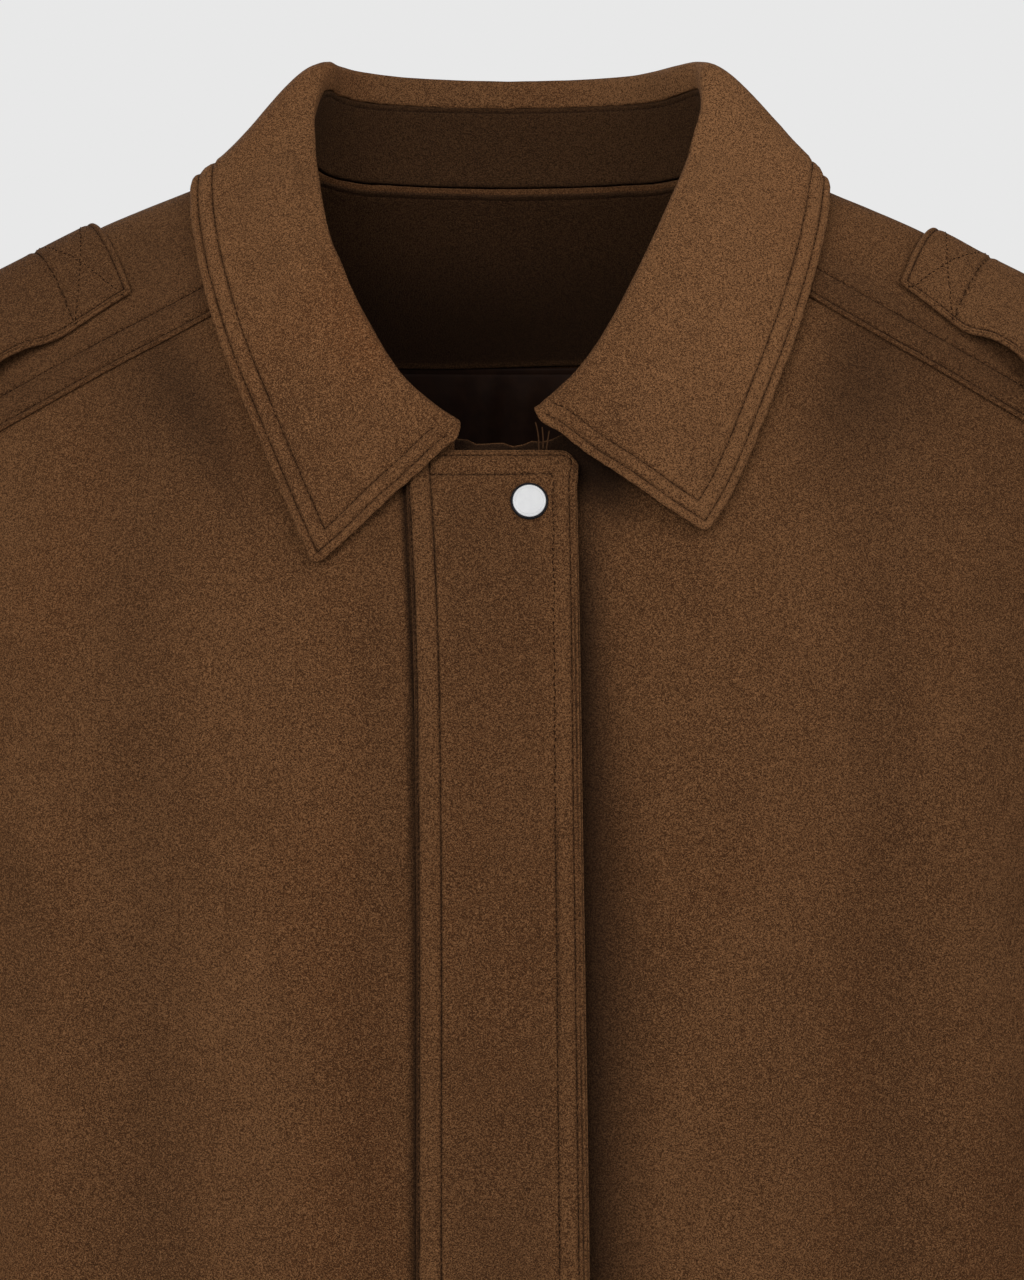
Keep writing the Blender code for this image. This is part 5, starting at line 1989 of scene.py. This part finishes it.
    def grids(self) -> tuple[Array, Array]:
        """Build close grids of the stand and the leaf.

        Returns:
            The stand's grid and the leaf's, columns from the neckline or the stand seam outwards.
        """
        last = len(self.shared) + len(self.fronts[Side.RIGHT]) - 1
        stations = np.linspace(0, last, 260)
        right, left = (self.guides(side, stations) for side in (Side.RIGHT, Side.LEFT))
        neck, fold, edge = (np.concatenate([a[::-1], b[1:]]) for a, b in zip(right, left))
        up, fall = unit(fold - neck), edge - fold
        out = unit(fall - np.sum(fall * up, axis=-1, keepdims=True) * up)
        rise = np.linalg.norm(fold - neck, axis=-1, keepdims=True)
        start = neck + up * self.stand_start
        _, edge_out = BODY.distance(edge)
        radius = np.minimum(self.fold_radius, rise * 0.33)
        seam = np.clip(1 - self.seam_drop / rise, *self.seam_range)
        inside = (start, neck + up * rise * 0.45, fold - out * radius, fold)
        stand = np.stack([bezier(*inside, seam * share) for share in np.linspace(0, 1, 24)], axis=1)
        shares = np.linspace(0, 1, self.inner_columns + 1)[:-1]
        inner = [bezier(*inside, seam + (1 - seam) * share) for share in shares]
        swell = (self.bulge[Side.LEFT] + self.bulge[Side.RIGHT]) / 2
        tilt = (self.bulge[Side.LEFT] - self.bulge[Side.RIGHT]) / 2
        bulge = swell + tilt * (2 * smoothstep(edge[:, :1], -30, 30) - 1)
        hip = edge + (fold - edge) * 0.45 + edge_out * bulge
        steps = np.linspace(0, 1, 70)
        roll = fold + out * radius * 1.5
        leaf = np.stack([bezier(fold, roll, hip, edge, share) for share in steps], axis=1)
        over_placket = smoothstep(leaf[..., 2], -122, -130) * smoothstep(np.abs(leaf[..., 0] + 8), 50, 40)
        over_stand = 1 - smoothstep(steps, 0.35, 0.85)
        more = np.maximum(
            over_placket * (self.placket_clearance - self.leaf_clearance),
            over_stand * (self.stand_clearance - self.leaf_clearance),
        )
        clearance = (self.leaf_clearance + more) * smoothstep(steps, 0.03, 0.16)
        first = int(np.argmax(steps > 0.03))
        leaf[:, first:] = BODY.settle(leaf[:, first:], clearance[:, first:], only_out=True)
        leaf = np.concatenate([np.stack(inner, axis=1), leaf], axis=1)
        past = lengths_along(leaf, 1)
        past = past - past[:, self.inner_columns : self.inner_columns + 1]
        pull = self.end_pull * (1 - smoothstep(past, -9, 1.0)) + 1.0 * bump_at(np.maximum(past, 0), 2.0)
        at_roll = 1.2 * bump_at(past - 6, 4)
        growth = {
            side: middle * bump_at(past - 34, 30) + tip * smoothstep(past, 40, 74) + at_roll
            for side, (middle, tip) in self.front_growth.items()
        }
        stop = np.full(stand.shape[:2], self.end_pull)
        stand = self.pulled(stand, stop, stop)
        return stand, self.pulled(leaf, pull - growth[Side.RIGHT], pull - growth[Side.LEFT])

    def pulled(self, grid: Array, at_start: Array, at_end: Array) -> Array:
        """Return a grid drawn back from its two ends.

        Args:
            grid: The stand's or the leaf's grid.
            at_start: How far each point would move at the right front end.
            at_end: How far each point would move at the left front end.

        Returns:
            The moved grid.
        """
        along = lengths_along(grid, 0)
        way = unit(np.gradient(grid, axis=0))
        start, end = 1 - smoothstep(along, 0, 34), 1 - smoothstep(along[-1:] - along, 0, 34)
        return grid + way * (at_start * start - at_end * end)[..., None]

    def build(self) -> None:
        """Build and dress the stand and the leaf."""
        stand_grid, leaf_grid = self.grids()
        seams = Seamwork("collar_stitching", 51)
        leaf = self.leaf(leaf_grid)
        for outer, front in zip(self.outer_rows, self.front_rows):
            seams.add(leaf.trace((front, -outer), (-front, -outer)))
            for sign in (1, -1):
                seams.add(leaf.trace((sign * front, self.past_fold), (sign * front, -outer)))
        piece = claim(leaf.build(self.finishes.use(self.finishes.collar)), Slot.SUEDE, "collar_leaf")

        grid = respace(stand_grid, 1, Spacing(1.8, end=(self.stand_row,)))
        grid = respace(grid, 0, Spacing(2.6))
        inward = np.array(self.neck_middle) - grid
        stand = Shell("collar_stand_cloth", grid, self.wall, inward, tuple(Edge))
        stand.normals = grid_normals(grid, inward * np.array([1, 1, 0]))
        stand.groove(Edge.LAST_COLUMN, self.stand_row, 0.35, 0.45)
        seams.add(stand.trace((30.0, -self.stand_row), (-30.0, -self.stand_row)), self.stand_thread)
        piece = claim(stand.build(self.finishes.use(self.finishes.stand)), Slot.SUEDE, "collar_stand")
        claim(seams.build(self.finishes.use(self.finishes.thread)), Slot.SUEDE)

    def leaf(self, close: Array) -> Shell:
        """Build the leaf's shell.

        Args:
            close: Its close grid.

        Returns:
            The shell, with its edge lines, rows and slight creases pressed in.
        """
        outer_lines, front_lines = (self.edge_line,) + self.outer_rows, (self.edge_line,) + self.front_rows
        grid = respace(close, 1, Spacing(2.3, end=outer_lines))
        grid = respace(grid, 0, Spacing(2.3, start=front_lines, end=front_lines))
        normals = unit(np.cross(np.gradient(grid, axis=0), np.gradient(grid, axis=1)))
        down = grid - grid.mean(axis=(0, 1))
        if np.mean(np.sum(normals[:, -30:] * down[:, -30:], axis=-1)) < 0:
            normals = -normals
        shell = Shell("collar_leaf_cloth", grid, self.wall, normals, tuple(Edge))
        off_fold, along = shell.far[Edge.FIRST_COLUMN], shell.far[Edge.FIRST_ROW]
        creased = sum(crease.out(along, off_fold) for crease in self.creases)
        shell.outside = shell.normals
        easing = smoothstep(shell.free_distance, 0, 12)
        shell.move(easing * (creased + 0.4 * lumps(grid, 30, 9)) + 0.12 * lumps(grid, 9, 10))
        line = {"depth": 0.1, "width": 0.22, "dark": 0.1}
        shell.groove(Edge.LAST_COLUMN, self.edge_line, **line)
        for outer, front in zip(self.outer_rows, self.front_rows):
            shell.groove(Edge.LAST_COLUMN, outer, 0.7, 0.5, start=front, end=front)
        for edge in (Edge.FIRST_ROW, Edge.LAST_ROW):
            shell.groove(edge, self.edge_line, start=self.past_fold, **line)
            for outer, front in zip(self.outer_rows, self.front_rows):
                shell.groove(edge, front, 0.7, 0.5, start=self.past_fold, end=outer)
            shell.round_corner(edge, Edge.LAST_COLUMN, self.corner)
        shell.rag(0.42, 2.6, 13)
        cut_edges = (Edge.FIRST_ROW, Edge.LAST_ROW, Edge.LAST_COLUMN)
        outer = np.minimum.reduce([shell.far[edge] for edge in cut_edges])
        shell.relief += 0.45 * bump_at(outer - 7.0, 2.4) * smoothstep(off_fold, 20, 40)
        shell.relief += 0.3 * bump_at(outer - 2.2, 1.0) * smoothstep(off_fold, 14, 24)
        x, y, z = np.moveaxis(shell.grid, -1, 0)
        # painted shade towards the back of the leaf and towards its points
        shell.darken(0.26 * (bump_at(x, 66) * smoothstep(y, 10, 50)))
        shell.darken(0.14 * (smoothstep(-z, 92, 125) * (1 - smoothstep(outer, 0, 40) * 0.3)))
        # painted highlight along the edges, partly rubbed, and painted light higher up and on the wearer's
        # left half
        shell.highlight_and_wear += 0.65 * bump_at(outer - 0.4, 1.0) + 0.25 * bump_at(outer - 6.0, 3.0)
        shell.highlight_and_wear += 0.5 * smoothstep(z, -75, 5) + 0.65 * smoothstep(x, 20, 70)
        return shell


# ------------------------------------------------------------------------------ placket, straps, inner parts


@dataclass
class Placket:
    """The storm placket on the wearer's right front, with its layered outer edge."""

    finishes: Finishes
    wall: float = 3.6
    gap: float = 0.4
    top: float = -134.0
    corner: float = 6.5
    edge_lines: Row = (1.4, 2.9)
    outer_rows: Row = (4.7, 12.7)
    inner_rows: Row = (1.5, 10.3)
    top_line: float = 1.2
    top_rows: Row = (2.7, 11.0)
    inner_thread: Thread = Thread(radius=0.27)
    sections: tuple[Row, ...] = (
        # z, left, right
        (-660, -36.5, 35.0),
        (-470, -36.7, 33.2),
        (-275, -37.2, 30.2),
        (-210, -38.5, 29.2),
        (-157, -41.0, 28.2),
        (-134, -42.5, 27.6),
    )

    def shell(self) -> Shell:
        """Lay the placket on the front.

        Returns:
            Its shell.
        """
        left, right = Curve.through(self.sections, 1), Curve.through(self.sections, 2)
        across = np.linspace(0, 1, 90)
        top_x = left(self.top) + (right(self.top) - left(self.top)) * across
        past = np.maximum(0, top_x - (right(self.top) - self.corner))
        drop = self.corner - np.sqrt(np.maximum(0, self.corner**2 - past**2))
        share = np.linspace(0, 1, 420)[:, None]
        z = BODY.hem_z + (self.top - BODY.hem_z) * share
        x = left(z) + (right(z) - left(z)) * across
        grid = BODY.points(x, z - drop * smoothstep(share, 0.965, 1.0), Face.FRONT)
        lift = 1.0 + self.gap + self.wall / 2
        grid = grid + grid_normals(grid, BODY.outward(grid)) * lift
        grid = respace(grid, 1, Spacing(2.2, start=self.inner_rows, end=self.edge_lines + self.outer_rows))
        grid = respace(grid, 0, Spacing(2.6, start=(26.0,), end=(self.top_line,) + self.top_rows))
        return Shell("placket_cloth", grid, self.wall, BODY.outward(grid), tuple(Edge))

    def build(self) -> None:
        """Build and dress the placket."""
        shell = self.shell()
        right, left, top = shell.far[Edge.LAST_COLUMN], shell.far[Edge.FIRST_COLUMN], shell.far[Edge.LAST_ROW]
        edges = 0.45 * bump_at(right - 2.2, 2.0) - 0.7 * smoothstep(right, 5, 0) - 0.5 * bump_at(left, 1.6)
        shell.move(uneven(shell.grid, (0.3, 42, 21), (0.12, 12, 22)) + edges)
        strips = 0.55 * bump_at(right - 8.6, 3.2) + 0.35 * bump_at(left - 5.8, 3.0)
        shell.relief += 0.8 * strips + 0.4 * bump_at(top - 6.8, 3.0)
        for line in self.edge_lines:
            shell.groove(Edge.LAST_COLUMN, line, 0.5, 0.24, end=3.0, dark=0.8)
        shell.groove(Edge.LAST_ROW, self.top_line, 0.3, 0.2, end=4.0)
        for outer, top_row in zip(self.outer_rows, self.top_rows):
            shell.groove(Edge.LAST_COLUMN, outer, 0.5, 0.45, end=top_row)
            shell.groove(Edge.LAST_ROW, top_row, 0.45, 0.42, start=self.inner_rows[1], end=outer)
        for row in self.inner_rows:
            shell.groove(Edge.FIRST_COLUMN, row, 0.65, 0.5, dark=0.8)
        # painted highlight on the raised edges and strips, partly rubbed
        shell.highlight_and_wear += 0.75 * bump_at(right - 0.6, 1.4) + 0.4 * bump_at(top - 0.5, 1.0)
        shell.highlight_and_wear += 0.3 * bump_at(left - 1.8, 0.8)
        shell.highlight_and_wear += 0.3 * bump_at(right - 8.6, 3.0) + 0.4 * bump_at(left - 6.0, 3.2)
        inner = smoothstep(right, 12, 22) * smoothstep(left, 10, 20) * smoothstep(top, 10, 20)
        shell.darken(0.2 * inner * (0.7 + 0.5 * lumps(shell.grid, 60, 23)))
        # painted shadow line along the left edge
        shell.darken((1 - smoothstep(left, 0.7, 1.5)) * smoothstep(top, 0, 5))
        seams = Seamwork("placket_stitching", 61)
        for outer, top_row in zip(self.outer_rows, self.top_rows):
            seams.add(shell.trace((1.0, -outer), (-top_row, -outer)))
        for outer, top_row in zip(self.outer_rows, self.top_rows):
            seams.add(shell.trace((-top_row, self.inner_rows[1]), (-top_row, -outer)))
        for row in self.inner_rows:
            seams.add(shell.trace((1.0, row), (-0.8, row)), self.inner_thread)
        piece = claim(shell.build(self.finishes.use(self.finishes.placket)), Slot.SUEDE, "placket")
        claim(seams.build(self.finishes.use(self.finishes.thread)), Slot.SUEDE)


@dataclass
class Straps:
    """The shoulder straps, each sewn down with a crossed box at its inner end."""

    finishes: Finishes
    wall: float = 3.2
    rear_y: float = 6.0
    box: float = 28.0
    row: float = 2.7
    edge_line: float = 1.1
    corner: float = 2.2
    cross_thread: Thread = Thread(radius=0.3, length=1.8)
    # painted shade on the right strap and painted light on the left one
    right_strap_shade: float = 0.2
    left_strap_highlight: float = 0.6
    sections: dict[Side, tuple[Row, ...]] = field(
        default_factory=lambda: {
            Side.RIGHT: (
                # rear_x, front_x, front_y, rear_gap, front_gap
                (180, 158, -36, 0.9, 0.5),
                (190, 178, -37, 0.9, 0.8),
                (202, 190, -37, 1.1, 2.0),
                (213, 202, -35, 1.6, 5.4),
                (222, 213, -34, 2.2, 7.6),
                (229, 224, -37, 2.4, 5.5),
                (234.4, 234.4, -38, 2.2, 1.6),
            ),
            Side.LEFT: (
                (184, 165, -31, 0.9, 0.5),
                (194, 185, -33.5, 0.9, 0.8),
                (205, 193, -34, 1.1, 2.0),
                (214, 202, -32.5, 1.6, 5.4),
                (222, 213, -32, 2.2, 7.6),
                (229, 224, -34.5, 2.4, 5.5),
                (234.4, 234.4, -36, 2.2, 1.6),
            ),
        }
    )

    def shell(self, side: Side, name: str) -> Shell:
        """Lay a strap on its shoulder.

        Args:
            side: Which shoulder.
            name: Its node's name.

        Returns:
            Its shell, with rows from the inner end to the armhole.
        """
        curves, share, rows = curves_of(self.sections[side]), np.linspace(0, 1, 70), []
        for station in np.linspace(0, len(self.sections[side]) - 1, 120):
            rear_x, front_x, front_y, rear_gap, front_gap = (float(curve(station)) for curve in curves)
            y = self.rear_y + (front_y - self.rear_y) * share
            x = rear_x + (front_x - rear_x) * share
            lift = 1.0 + rear_gap + (front_gap - rear_gap) * share**1.5 + self.wall / 2
            points = np.stack([side * x, y, BODY.shoulder_z(x, y)], axis=-1)
            _, out = BODY.distance(points + np.array([0, 0, 1.0]))
            rows.append(points + out * lift[:, None])
        grid = respace(np.array(rows), 1, Spacing(1.7, start=(self.row,), end=(self.edge_line, self.row)))
        grid = respace(grid, 0, Spacing(1.8, start=(self.edge_line, self.row)))
        up = np.broadcast_to(np.array([0.0, -0.3, 1.0]), grid.shape)
        return Shell(f"{name}_cloth", grid, self.wall, up, tuple(Edge))

    def build(self) -> None:
        """Build and dress both straps."""
        seams = Seamwork("strap_stitching", 71)
        row, box = self.row, self.box
        for side, name in ((Side.RIGHT, "epaulette_right"), (Side.LEFT, "epaulette_left")):
            shell = self.shell(side, name)
            shell.move(uneven(shell.grid, (0.25, 17, 31 + side), (0.1, 6, 33)))
            # painted shade on the right strap and painted light on the left one
            if side == Side.RIGHT:
                shell.darken(self.right_strap_shade)
            else:
                shell.highlight_and_wear += self.left_strap_highlight
            for edge in (Edge.FIRST_COLUMN, Edge.LAST_COLUMN):
                shell.groove(edge, row, 0.55, 0.5, start=row, dark=0.75)
            shell.groove(Edge.LAST_COLUMN, self.edge_line, 0.3, 0.2)
            shell.groove(Edge.FIRST_ROW, row, 0.55, 0.5, start=row, end=row, dark=0.75)
            for edge in (Edge.FIRST_COLUMN, Edge.LAST_COLUMN):
                shell.round_corner(Edge.FIRST_ROW, edge, self.corner)
            shell.groove(Edge.FIRST_ROW, box, 0.65, 0.55, start=row, end=row, dark=0.75)
            shell.highlight_and_wear += 0.6 * bump_at(shell.free_distance - 0.4, 1.0)
            wide = float(np.median(shell.far[Edge.FIRST_COLUMN][:, -1])) - row
            for start, end, thread in (
                ((row, row), (row, -row), Thread()),
                ((box, row), (box, -row), Thread()),
                ((row, row), (-2.0, row), Thread()),
                ((row, -row), (-2.0, -row), Thread()),
                ((row, row), (box, wide), self.cross_thread),
                ((box, row), (row, wide), self.cross_thread),
            ):
                seams.add(shell.trace(start, end), thread)
            piece = claim(shell.build(self.finishes.use(self.finishes.body)), Slot.SUEDE, name)
        claim(seams.build(self.finishes.use(self.finishes.thread)), Slot.SUEDE)


@dataclass
class InnerNeck:
    """The suede facing inside the back neck and the dark half lining that hangs below it."""

    finishes: Finishes
    facing_wall: float = 1.6
    lining_wall: float = 1.2
    lift: float = 1.4
    facing_top: float = 1.2
    facing_half: float = 88.0
    facing_low: float = -88.0
    facing_row: float = 2.6
    facing_thread: Thread = Thread(radius=0.2, length=1.7)
    lining_half: float = 205.0
    lining_row: float = 3.0
    lining_thread: Thread = Thread(pitch=2.4, radius=0.16, length=1.4)
    folds: tuple[Row, ...] = (
        # x, half_width, depth
        (-78, 9, 2.2), (-52, 8, 3.2), (-27, 7, 2.6), (-9, 6, 3.6),
        (8, 6, 3.0), (31, 8, 3.4), (57, 8, 2.6), (84, 9, 2.4),
    )

    def sheet(
        self, name: str, x: Array, edges: tuple[Array, Array], wall: float, count: int, rows: Spacing
    ) -> Shell:
        """Lay a sheet inside the back.

        Args:
            name: The piece's name.
            x: Its columns, close together.
            edges: The heights of its lower and its upper edge.
            wall: How thick it is.
            count: How many close rows are laid first.
            rows: Where its own rows lie.

        Returns:
            Its shell.
        """
        low, top = edges
        close = BODY.points(x, low + (top - low) * np.linspace(0, 1, count)[:, None], Face.BACK)
        close = close - grid_normals(close, BODY.outward(close)) * (self.lift + wall / 2)
        grid = respace(respace(close, 0, rows), 1, Spacing(2.6))
        return Shell(name, grid, wall, -BODY.outward(grid), tuple(Edge))

    def build(self) -> None:
        """Build and dress the facing and the lining."""
        seams = Seamwork("inner_neck_stitching", 81)
        self.build_facing(seams)
        self.build_lining(seams)
        claim(seams.build(self.finishes.use(self.finishes.thread)), Slot.SUEDE)

    def build_facing(self, seams: Seamwork) -> None:
        """Build the facing.

        Args:
            seams: The stitching that it adds to.
        """
        x, row = np.linspace(-self.facing_half, self.facing_half, 120)[None], self.facing_row
        top = BODY.neck_back_z(x) - self.facing_top - 3.0 * smoothstep(np.abs(x), 78, 88)
        edges = self.facing_low + 0.8 * np.sin(x / 23.0), top
        rows = Spacing(2.4, start=(2.0,), end=(row,))
        shell = self.sheet("neck_facing_cloth", x, edges, self.facing_wall, 70, rows)
        shell.move(0.3 * lumps(shell.grid, 26, 41) + 0.7 * bump_at(shell.far[Edge.FIRST_ROW] - 1.2, 1.6))
        low, below_top = shell.far[Edge.FIRST_ROW], shell.far[Edge.LAST_ROW]
        shell.groove(Edge.LAST_ROW, row, 0.3, 0.4)
        shell.highlight_and_wear += 0.5 * bump_at(low - 0.8, 1.2)
        # painted shade, deeper further down inside the neck, and a painted shadow line along the neck seam
        deep = 0.74 * smoothstep(below_top, 6.0, 70.0) * smoothstep(low, 0.4, 3.4)
        shell.darken(deep + 0.6 * bump_at(below_top, 1.4))
        seams.add(shell.trace((-row, 4.0), (-row, -4.0)), self.facing_thread)
        piece = claim(shell.build(self.finishes.use(self.finishes.facing)), Slot.SUEDE, "back_neck_facing")

    def build_lining(self, seams: Seamwork) -> None:
        """Build the lining.

        Args:
            seams: The stitching that it adds to.
        """
        x, row = np.linspace(-self.lining_half, self.lining_half, 240)[None], self.lining_row
        edges = BODY.base_z + 1.0, self.facing_low - 0.5 - 36.0 * smoothstep(np.abs(x), 90, 205)
        shell = self.sheet("back_lining_cloth", x, edges, self.lining_wall, 90, Spacing(3.2, end=(row,)))
        x, z = shell.grid[..., 0], shell.grid[..., 2]
        out = np.zeros(x.shape)
        for at, half_width, depth in self.folds:
            out += depth * bump_at(x - (at + 0.05 * (z - self.facing_low)), half_width)
        easing = smoothstep(shell.far[Edge.LAST_ROW], 1.0, 16.0)
        shell.move(easing * (out + 0.5 * lumps(shell.grid, 22, 43)))
        shell.groove(Edge.LAST_ROW, row, 0.3, 0.4)
        seams.add(shell.trace((-row, 110.0), (-row, -110.0)), self.lining_thread)
        piece = claim(shell.build(self.finishes.use(self.finishes.lining)), Slot.LINING, "back_lining")


# -------------------------------------------------------------------------------------------------- the snap


@dataclass
class Snap:
    """The one snap fastener: a white cap in a dark rim, and the steel socket and stud behind it."""

    finishes: Finishes
    x: float = 8.6
    z: float = -155.6
    segments: int = 72
    cap_depth: float = 0.85  # from the cap's foot to the middle of its solid
    cap_profile: tuple[Row, ...] = (
        # radius, height
        (0, 1.62), (3.0, 1.6), (5.3, 1.53), (5.7, 1.48), (5.9, 1.2), (6.1, 1.44), (6.5, 1.34), (6.75, 1.18),
        (6.85, 0.95), (6.8, 0.6), (0, 0.6),
    )
    rim_profile: tuple[Row, ...] = (
        # radius, height
        (6.74, 1.1), (6.95, 1.28), (7.45, 1.2), (7.75, 0.8), (7.7, 0.2), (7.4, 0), (5.6, 0), (5.6, 0.5),
        (6.5, 0.62),
    )

    def place(self) -> tuple[Vector, Vector]:
        """Find the cap on the placket.

        Returns:
            Its foot, read from its solid, and its axis.
        """
        low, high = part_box("snap_cap")
        near = np.array([-1, 0, 1])
        spot = BODY.points(self.x + near, self.z + near[:, None], Face.FRONT)
        axis = Vector(grid_normals(spot, BODY.outward(spot))[1, 1])
        return (low + high) / 2 - axis * (self.cap_depth * MM), axis

    def turned(self, name: str, profile: tuple[Row, ...], material: Material, closed: bool) -> Piece:
        """Turn a profile of radius and height round the snap's axis.

        Args:
            name: The piece's name.
            profile: The profile.
            material: Its material.
            closed: Whether the profile is a ring of its own.

        Returns:
            The new object.
        """
        foot, axis = self.place()
        turn = np.array(Vector((0, 0, 1)).rotation_difference(axis).to_matrix())
        angles = np.arange(self.segments) * 2 * math.pi / self.segments
        radius, height = np.array(profile, float).T[:, :, None]
        local = np.stack([radius * np.cos(angles), radius * np.sin(angles), height + 0 * angles], axis=-1)
        world = local.reshape(-1, 3) * MM @ turn.T + np.array(foot)
        numbers = np.arange(len(world)).reshape(len(profile), self.segments)
        numbers = np.where(radius < 1e-9, numbers[:, :1], numbers)
        if closed:
            numbers = np.concatenate([numbers, numbers[:1]])
        after = np.roll(numbers, -1, axis=1)
        faces = np.stack([numbers[:-1], numbers[1:], after[1:], after[:-1]], axis=-1).reshape(-1, 4)
        return mesh_object(name, world, faces, material)

    def build(self) -> None:
        """Build the cap and its rim, and finish the socket and the stud."""
        white, steel = self.finishes.use(self.finishes.white), self.finishes.use(self.finishes.steel)
        claim(self.turned("snap_cap_face", self.cap_profile, white, False), Slot.WHITE, "snap_cap")
        claim(self.turned("snap_cap_rim", self.rim_profile, steel, True), Slot.STEEL)
        for name in ("snap_socket", "snap_stud"):
            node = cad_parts[name]
            node.data.materials.clear()
            node.data.materials.append(steel)


@dataclass
class LooseThreads:
    """A few thread ends left at the collar's corner and the placket's top."""

    finishes: Finishes
    radius: float = 0.28
    sides: int = 6
    ends: tuple[tuple[Row, Row, Row], ...] = (
        ((11.3, -104, -122.0), (12.9, -107, -127.5), (12.6, -108, -133.4)),
        ((16.9, -104, -125.5), (16.2, -107, -129.5), (15.7, -108, -133.4)),
        ((14.0, -105, -124.0), (14.6, -108, -129.0), (14.3, -108, -133.0)),
    )

    def build(self) -> None:
        """Build the threads as one piece of short tubes."""
        vertices, faces, count = [], [], 0
        turn = np.arange(self.sides) * 2 * math.pi / self.sides
        ring = np.stack([np.cos(turn), np.sin(turn), 0 * turn], axis=-1) * self.radius
        share = np.linspace(0, 1, 9)[:, None]
        for start, middle, end in (np.array(points, float) for points in self.ends):
            line = start * (1 - share) ** 2 + 2 * middle * share * (1 - share) + end * share**2
            points = (line[:, None] + ring[None]).reshape(-1, 3)
            numbers = count + np.arange(len(points)).reshape(len(line), self.sides)
            after = np.roll(numbers, -1, axis=1)
            faces.append(np.stack([numbers[:-1], after[:-1], after[1:], numbers[1:]], axis=-1).reshape(-1, 4))
            for tip, flip in ((numbers[0], 1), (numbers[-1], -1)):
                fan = [[tip[0], tip[0], tip[i + 1], tip[i]][::flip] for i in range(1, self.sides - 1)]
                faces.append(np.array(fan))
            vertices.append(points)
            count += len(points)
        material = self.finishes.use(self.finishes.loose)
        vertices, faces = np.concatenate(vertices) * MM, np.concatenate(faces)
        claim(mesh_object("loose_threads", vertices, faces, material), Slot.SUEDE)


# ------------------------------------------------------------------------------------------------ the studio


@dataclass(frozen=True)
class Studio:
    """The camera, the soft lights, the pale floor and the plain backdrop."""

    sensor: float = 36.0
    lens: float = 137.35
    camera_place: Row = (0.0017, -2.1, -0.211)
    backdrop: float = 0.807
    ambient: float = 0.36
    floor_z: float = -0.78
    floor_half: float = 1.7
    floor_finish: HardFinish = HardFinish("pale_floor", (0.72, 0.72, 0.72), (0.70, 0.70, 0.70), 400.0, 0.9)
    lights: tuple[tuple[str, Row, Row, float, float], ...] = (
        # name, place, target, size, power
        ("key", (-0.9, -2.3, 0.55), (0.0, 0.0, -0.25), 1.4, 46.0),
        ("fill", (1.5, -1.6, 1.1), (0.0, 0.0, -0.2), 1.5, 32.0),
        ("back", (-0.6, 2.2, 0.9), (0.0, 0.0, -0.3), 1.8, 34.0),
    )

    def add(self, name: str, data: bpy.types.ID) -> Piece:
        """Make an object and link it.

        Args:
            name: Its name.
            data: What it holds.

        Returns:
            The new object.
        """
        made = bpy.data.objects.new(name, data)
        bpy.context.scene.collection.objects.link(made)
        return made

    def build(self) -> None:
        """Build the studio."""
        bpy.context.scene.view_settings.view_transform = "Standard"
        self.build_camera()
        self.build_light()
        self.build_floor()

    def build_camera(self) -> None:
        """Place the camera level, straight in front of the chest."""
        data = bpy.data.cameras.new("camera")
        data.sensor_width, data.lens = self.sensor, self.lens
        data.clip_start, data.clip_end = 0.05, 50.0
        camera = self.add("camera", data)
        camera.location = self.camera_place
        camera.rotation_euler = (math.radians(90), 0.0, 0.0)
        bpy.context.scene.camera = camera

    def build_light(self) -> None:
        """Place the lights, and make a world that is pale to the camera and soft to the jacket."""
        for name, place, target, size, power in self.lights:
            data = bpy.data.lights.new(name, "AREA")
            data.size, data.energy = size, power
            light = self.add(name, data)
            light.location = place
            light.rotation_euler = (Vector(target) - Vector(place)).to_track_quat("-Z", "Y").to_euler()
        world = bpy.data.worlds.new("studio")
        bpy.context.scene.world = world
        world.use_nodes = True
        tree = world.node_tree
        tree.nodes.clear()
        shown, soft = (
            add_node(tree, "ShaderNodeBackground", {"Color": (grey, grey, grey, 1.0), "Strength": strength})
            for grey, strength in ((self.backdrop, 1.0), (1.0, self.ambient))
        )
        seen = add_node(tree, "ShaderNodeLightPath").outputs["Is Camera Ray"]
        mixed = add_node(tree, "ShaderNodeMixShader", {0: seen, 1: soft.outputs[0], 2: shown.outputs[0]})
        add_node(tree, "ShaderNodeOutputWorld", {"Surface": mixed.outputs[0]})

    def build_floor(self) -> None:
        """Lay the floor."""
        data, half = bpy.data.meshes.new("floor"), self.floor_half
        corners = ((-half, -half), (half, -half), (half, half), (-half, half))
        data.from_pydata([(x, y, self.floor_z) for x, y in corners], [], [(0, 1, 2, 3)])
        data.materials.append(self.floor_finish.material())
        floor = self.add("floor", data)


def write_sizes() -> None:
    """Update the view layer."""
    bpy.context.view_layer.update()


def main() -> None:
    """Build the jacket's sub-assemblies and the studio in order."""
    logging.basicConfig(level=logging.INFO, format="%(message)s")
    Studio().build()
    finishes = Finishes()
    panels = BodyPanels(finishes)
    panels.build()
    Sleeves(finishes).build(panels)
    Collar(finishes).build()
    Placket(finishes).build()
    Straps(finishes).build()
    InnerNeck(finishes).build()
    Snap(finishes).build()
    LooseThreads(finishes).build()
    write_sizes()


if __name__ == "__main__":
    main()
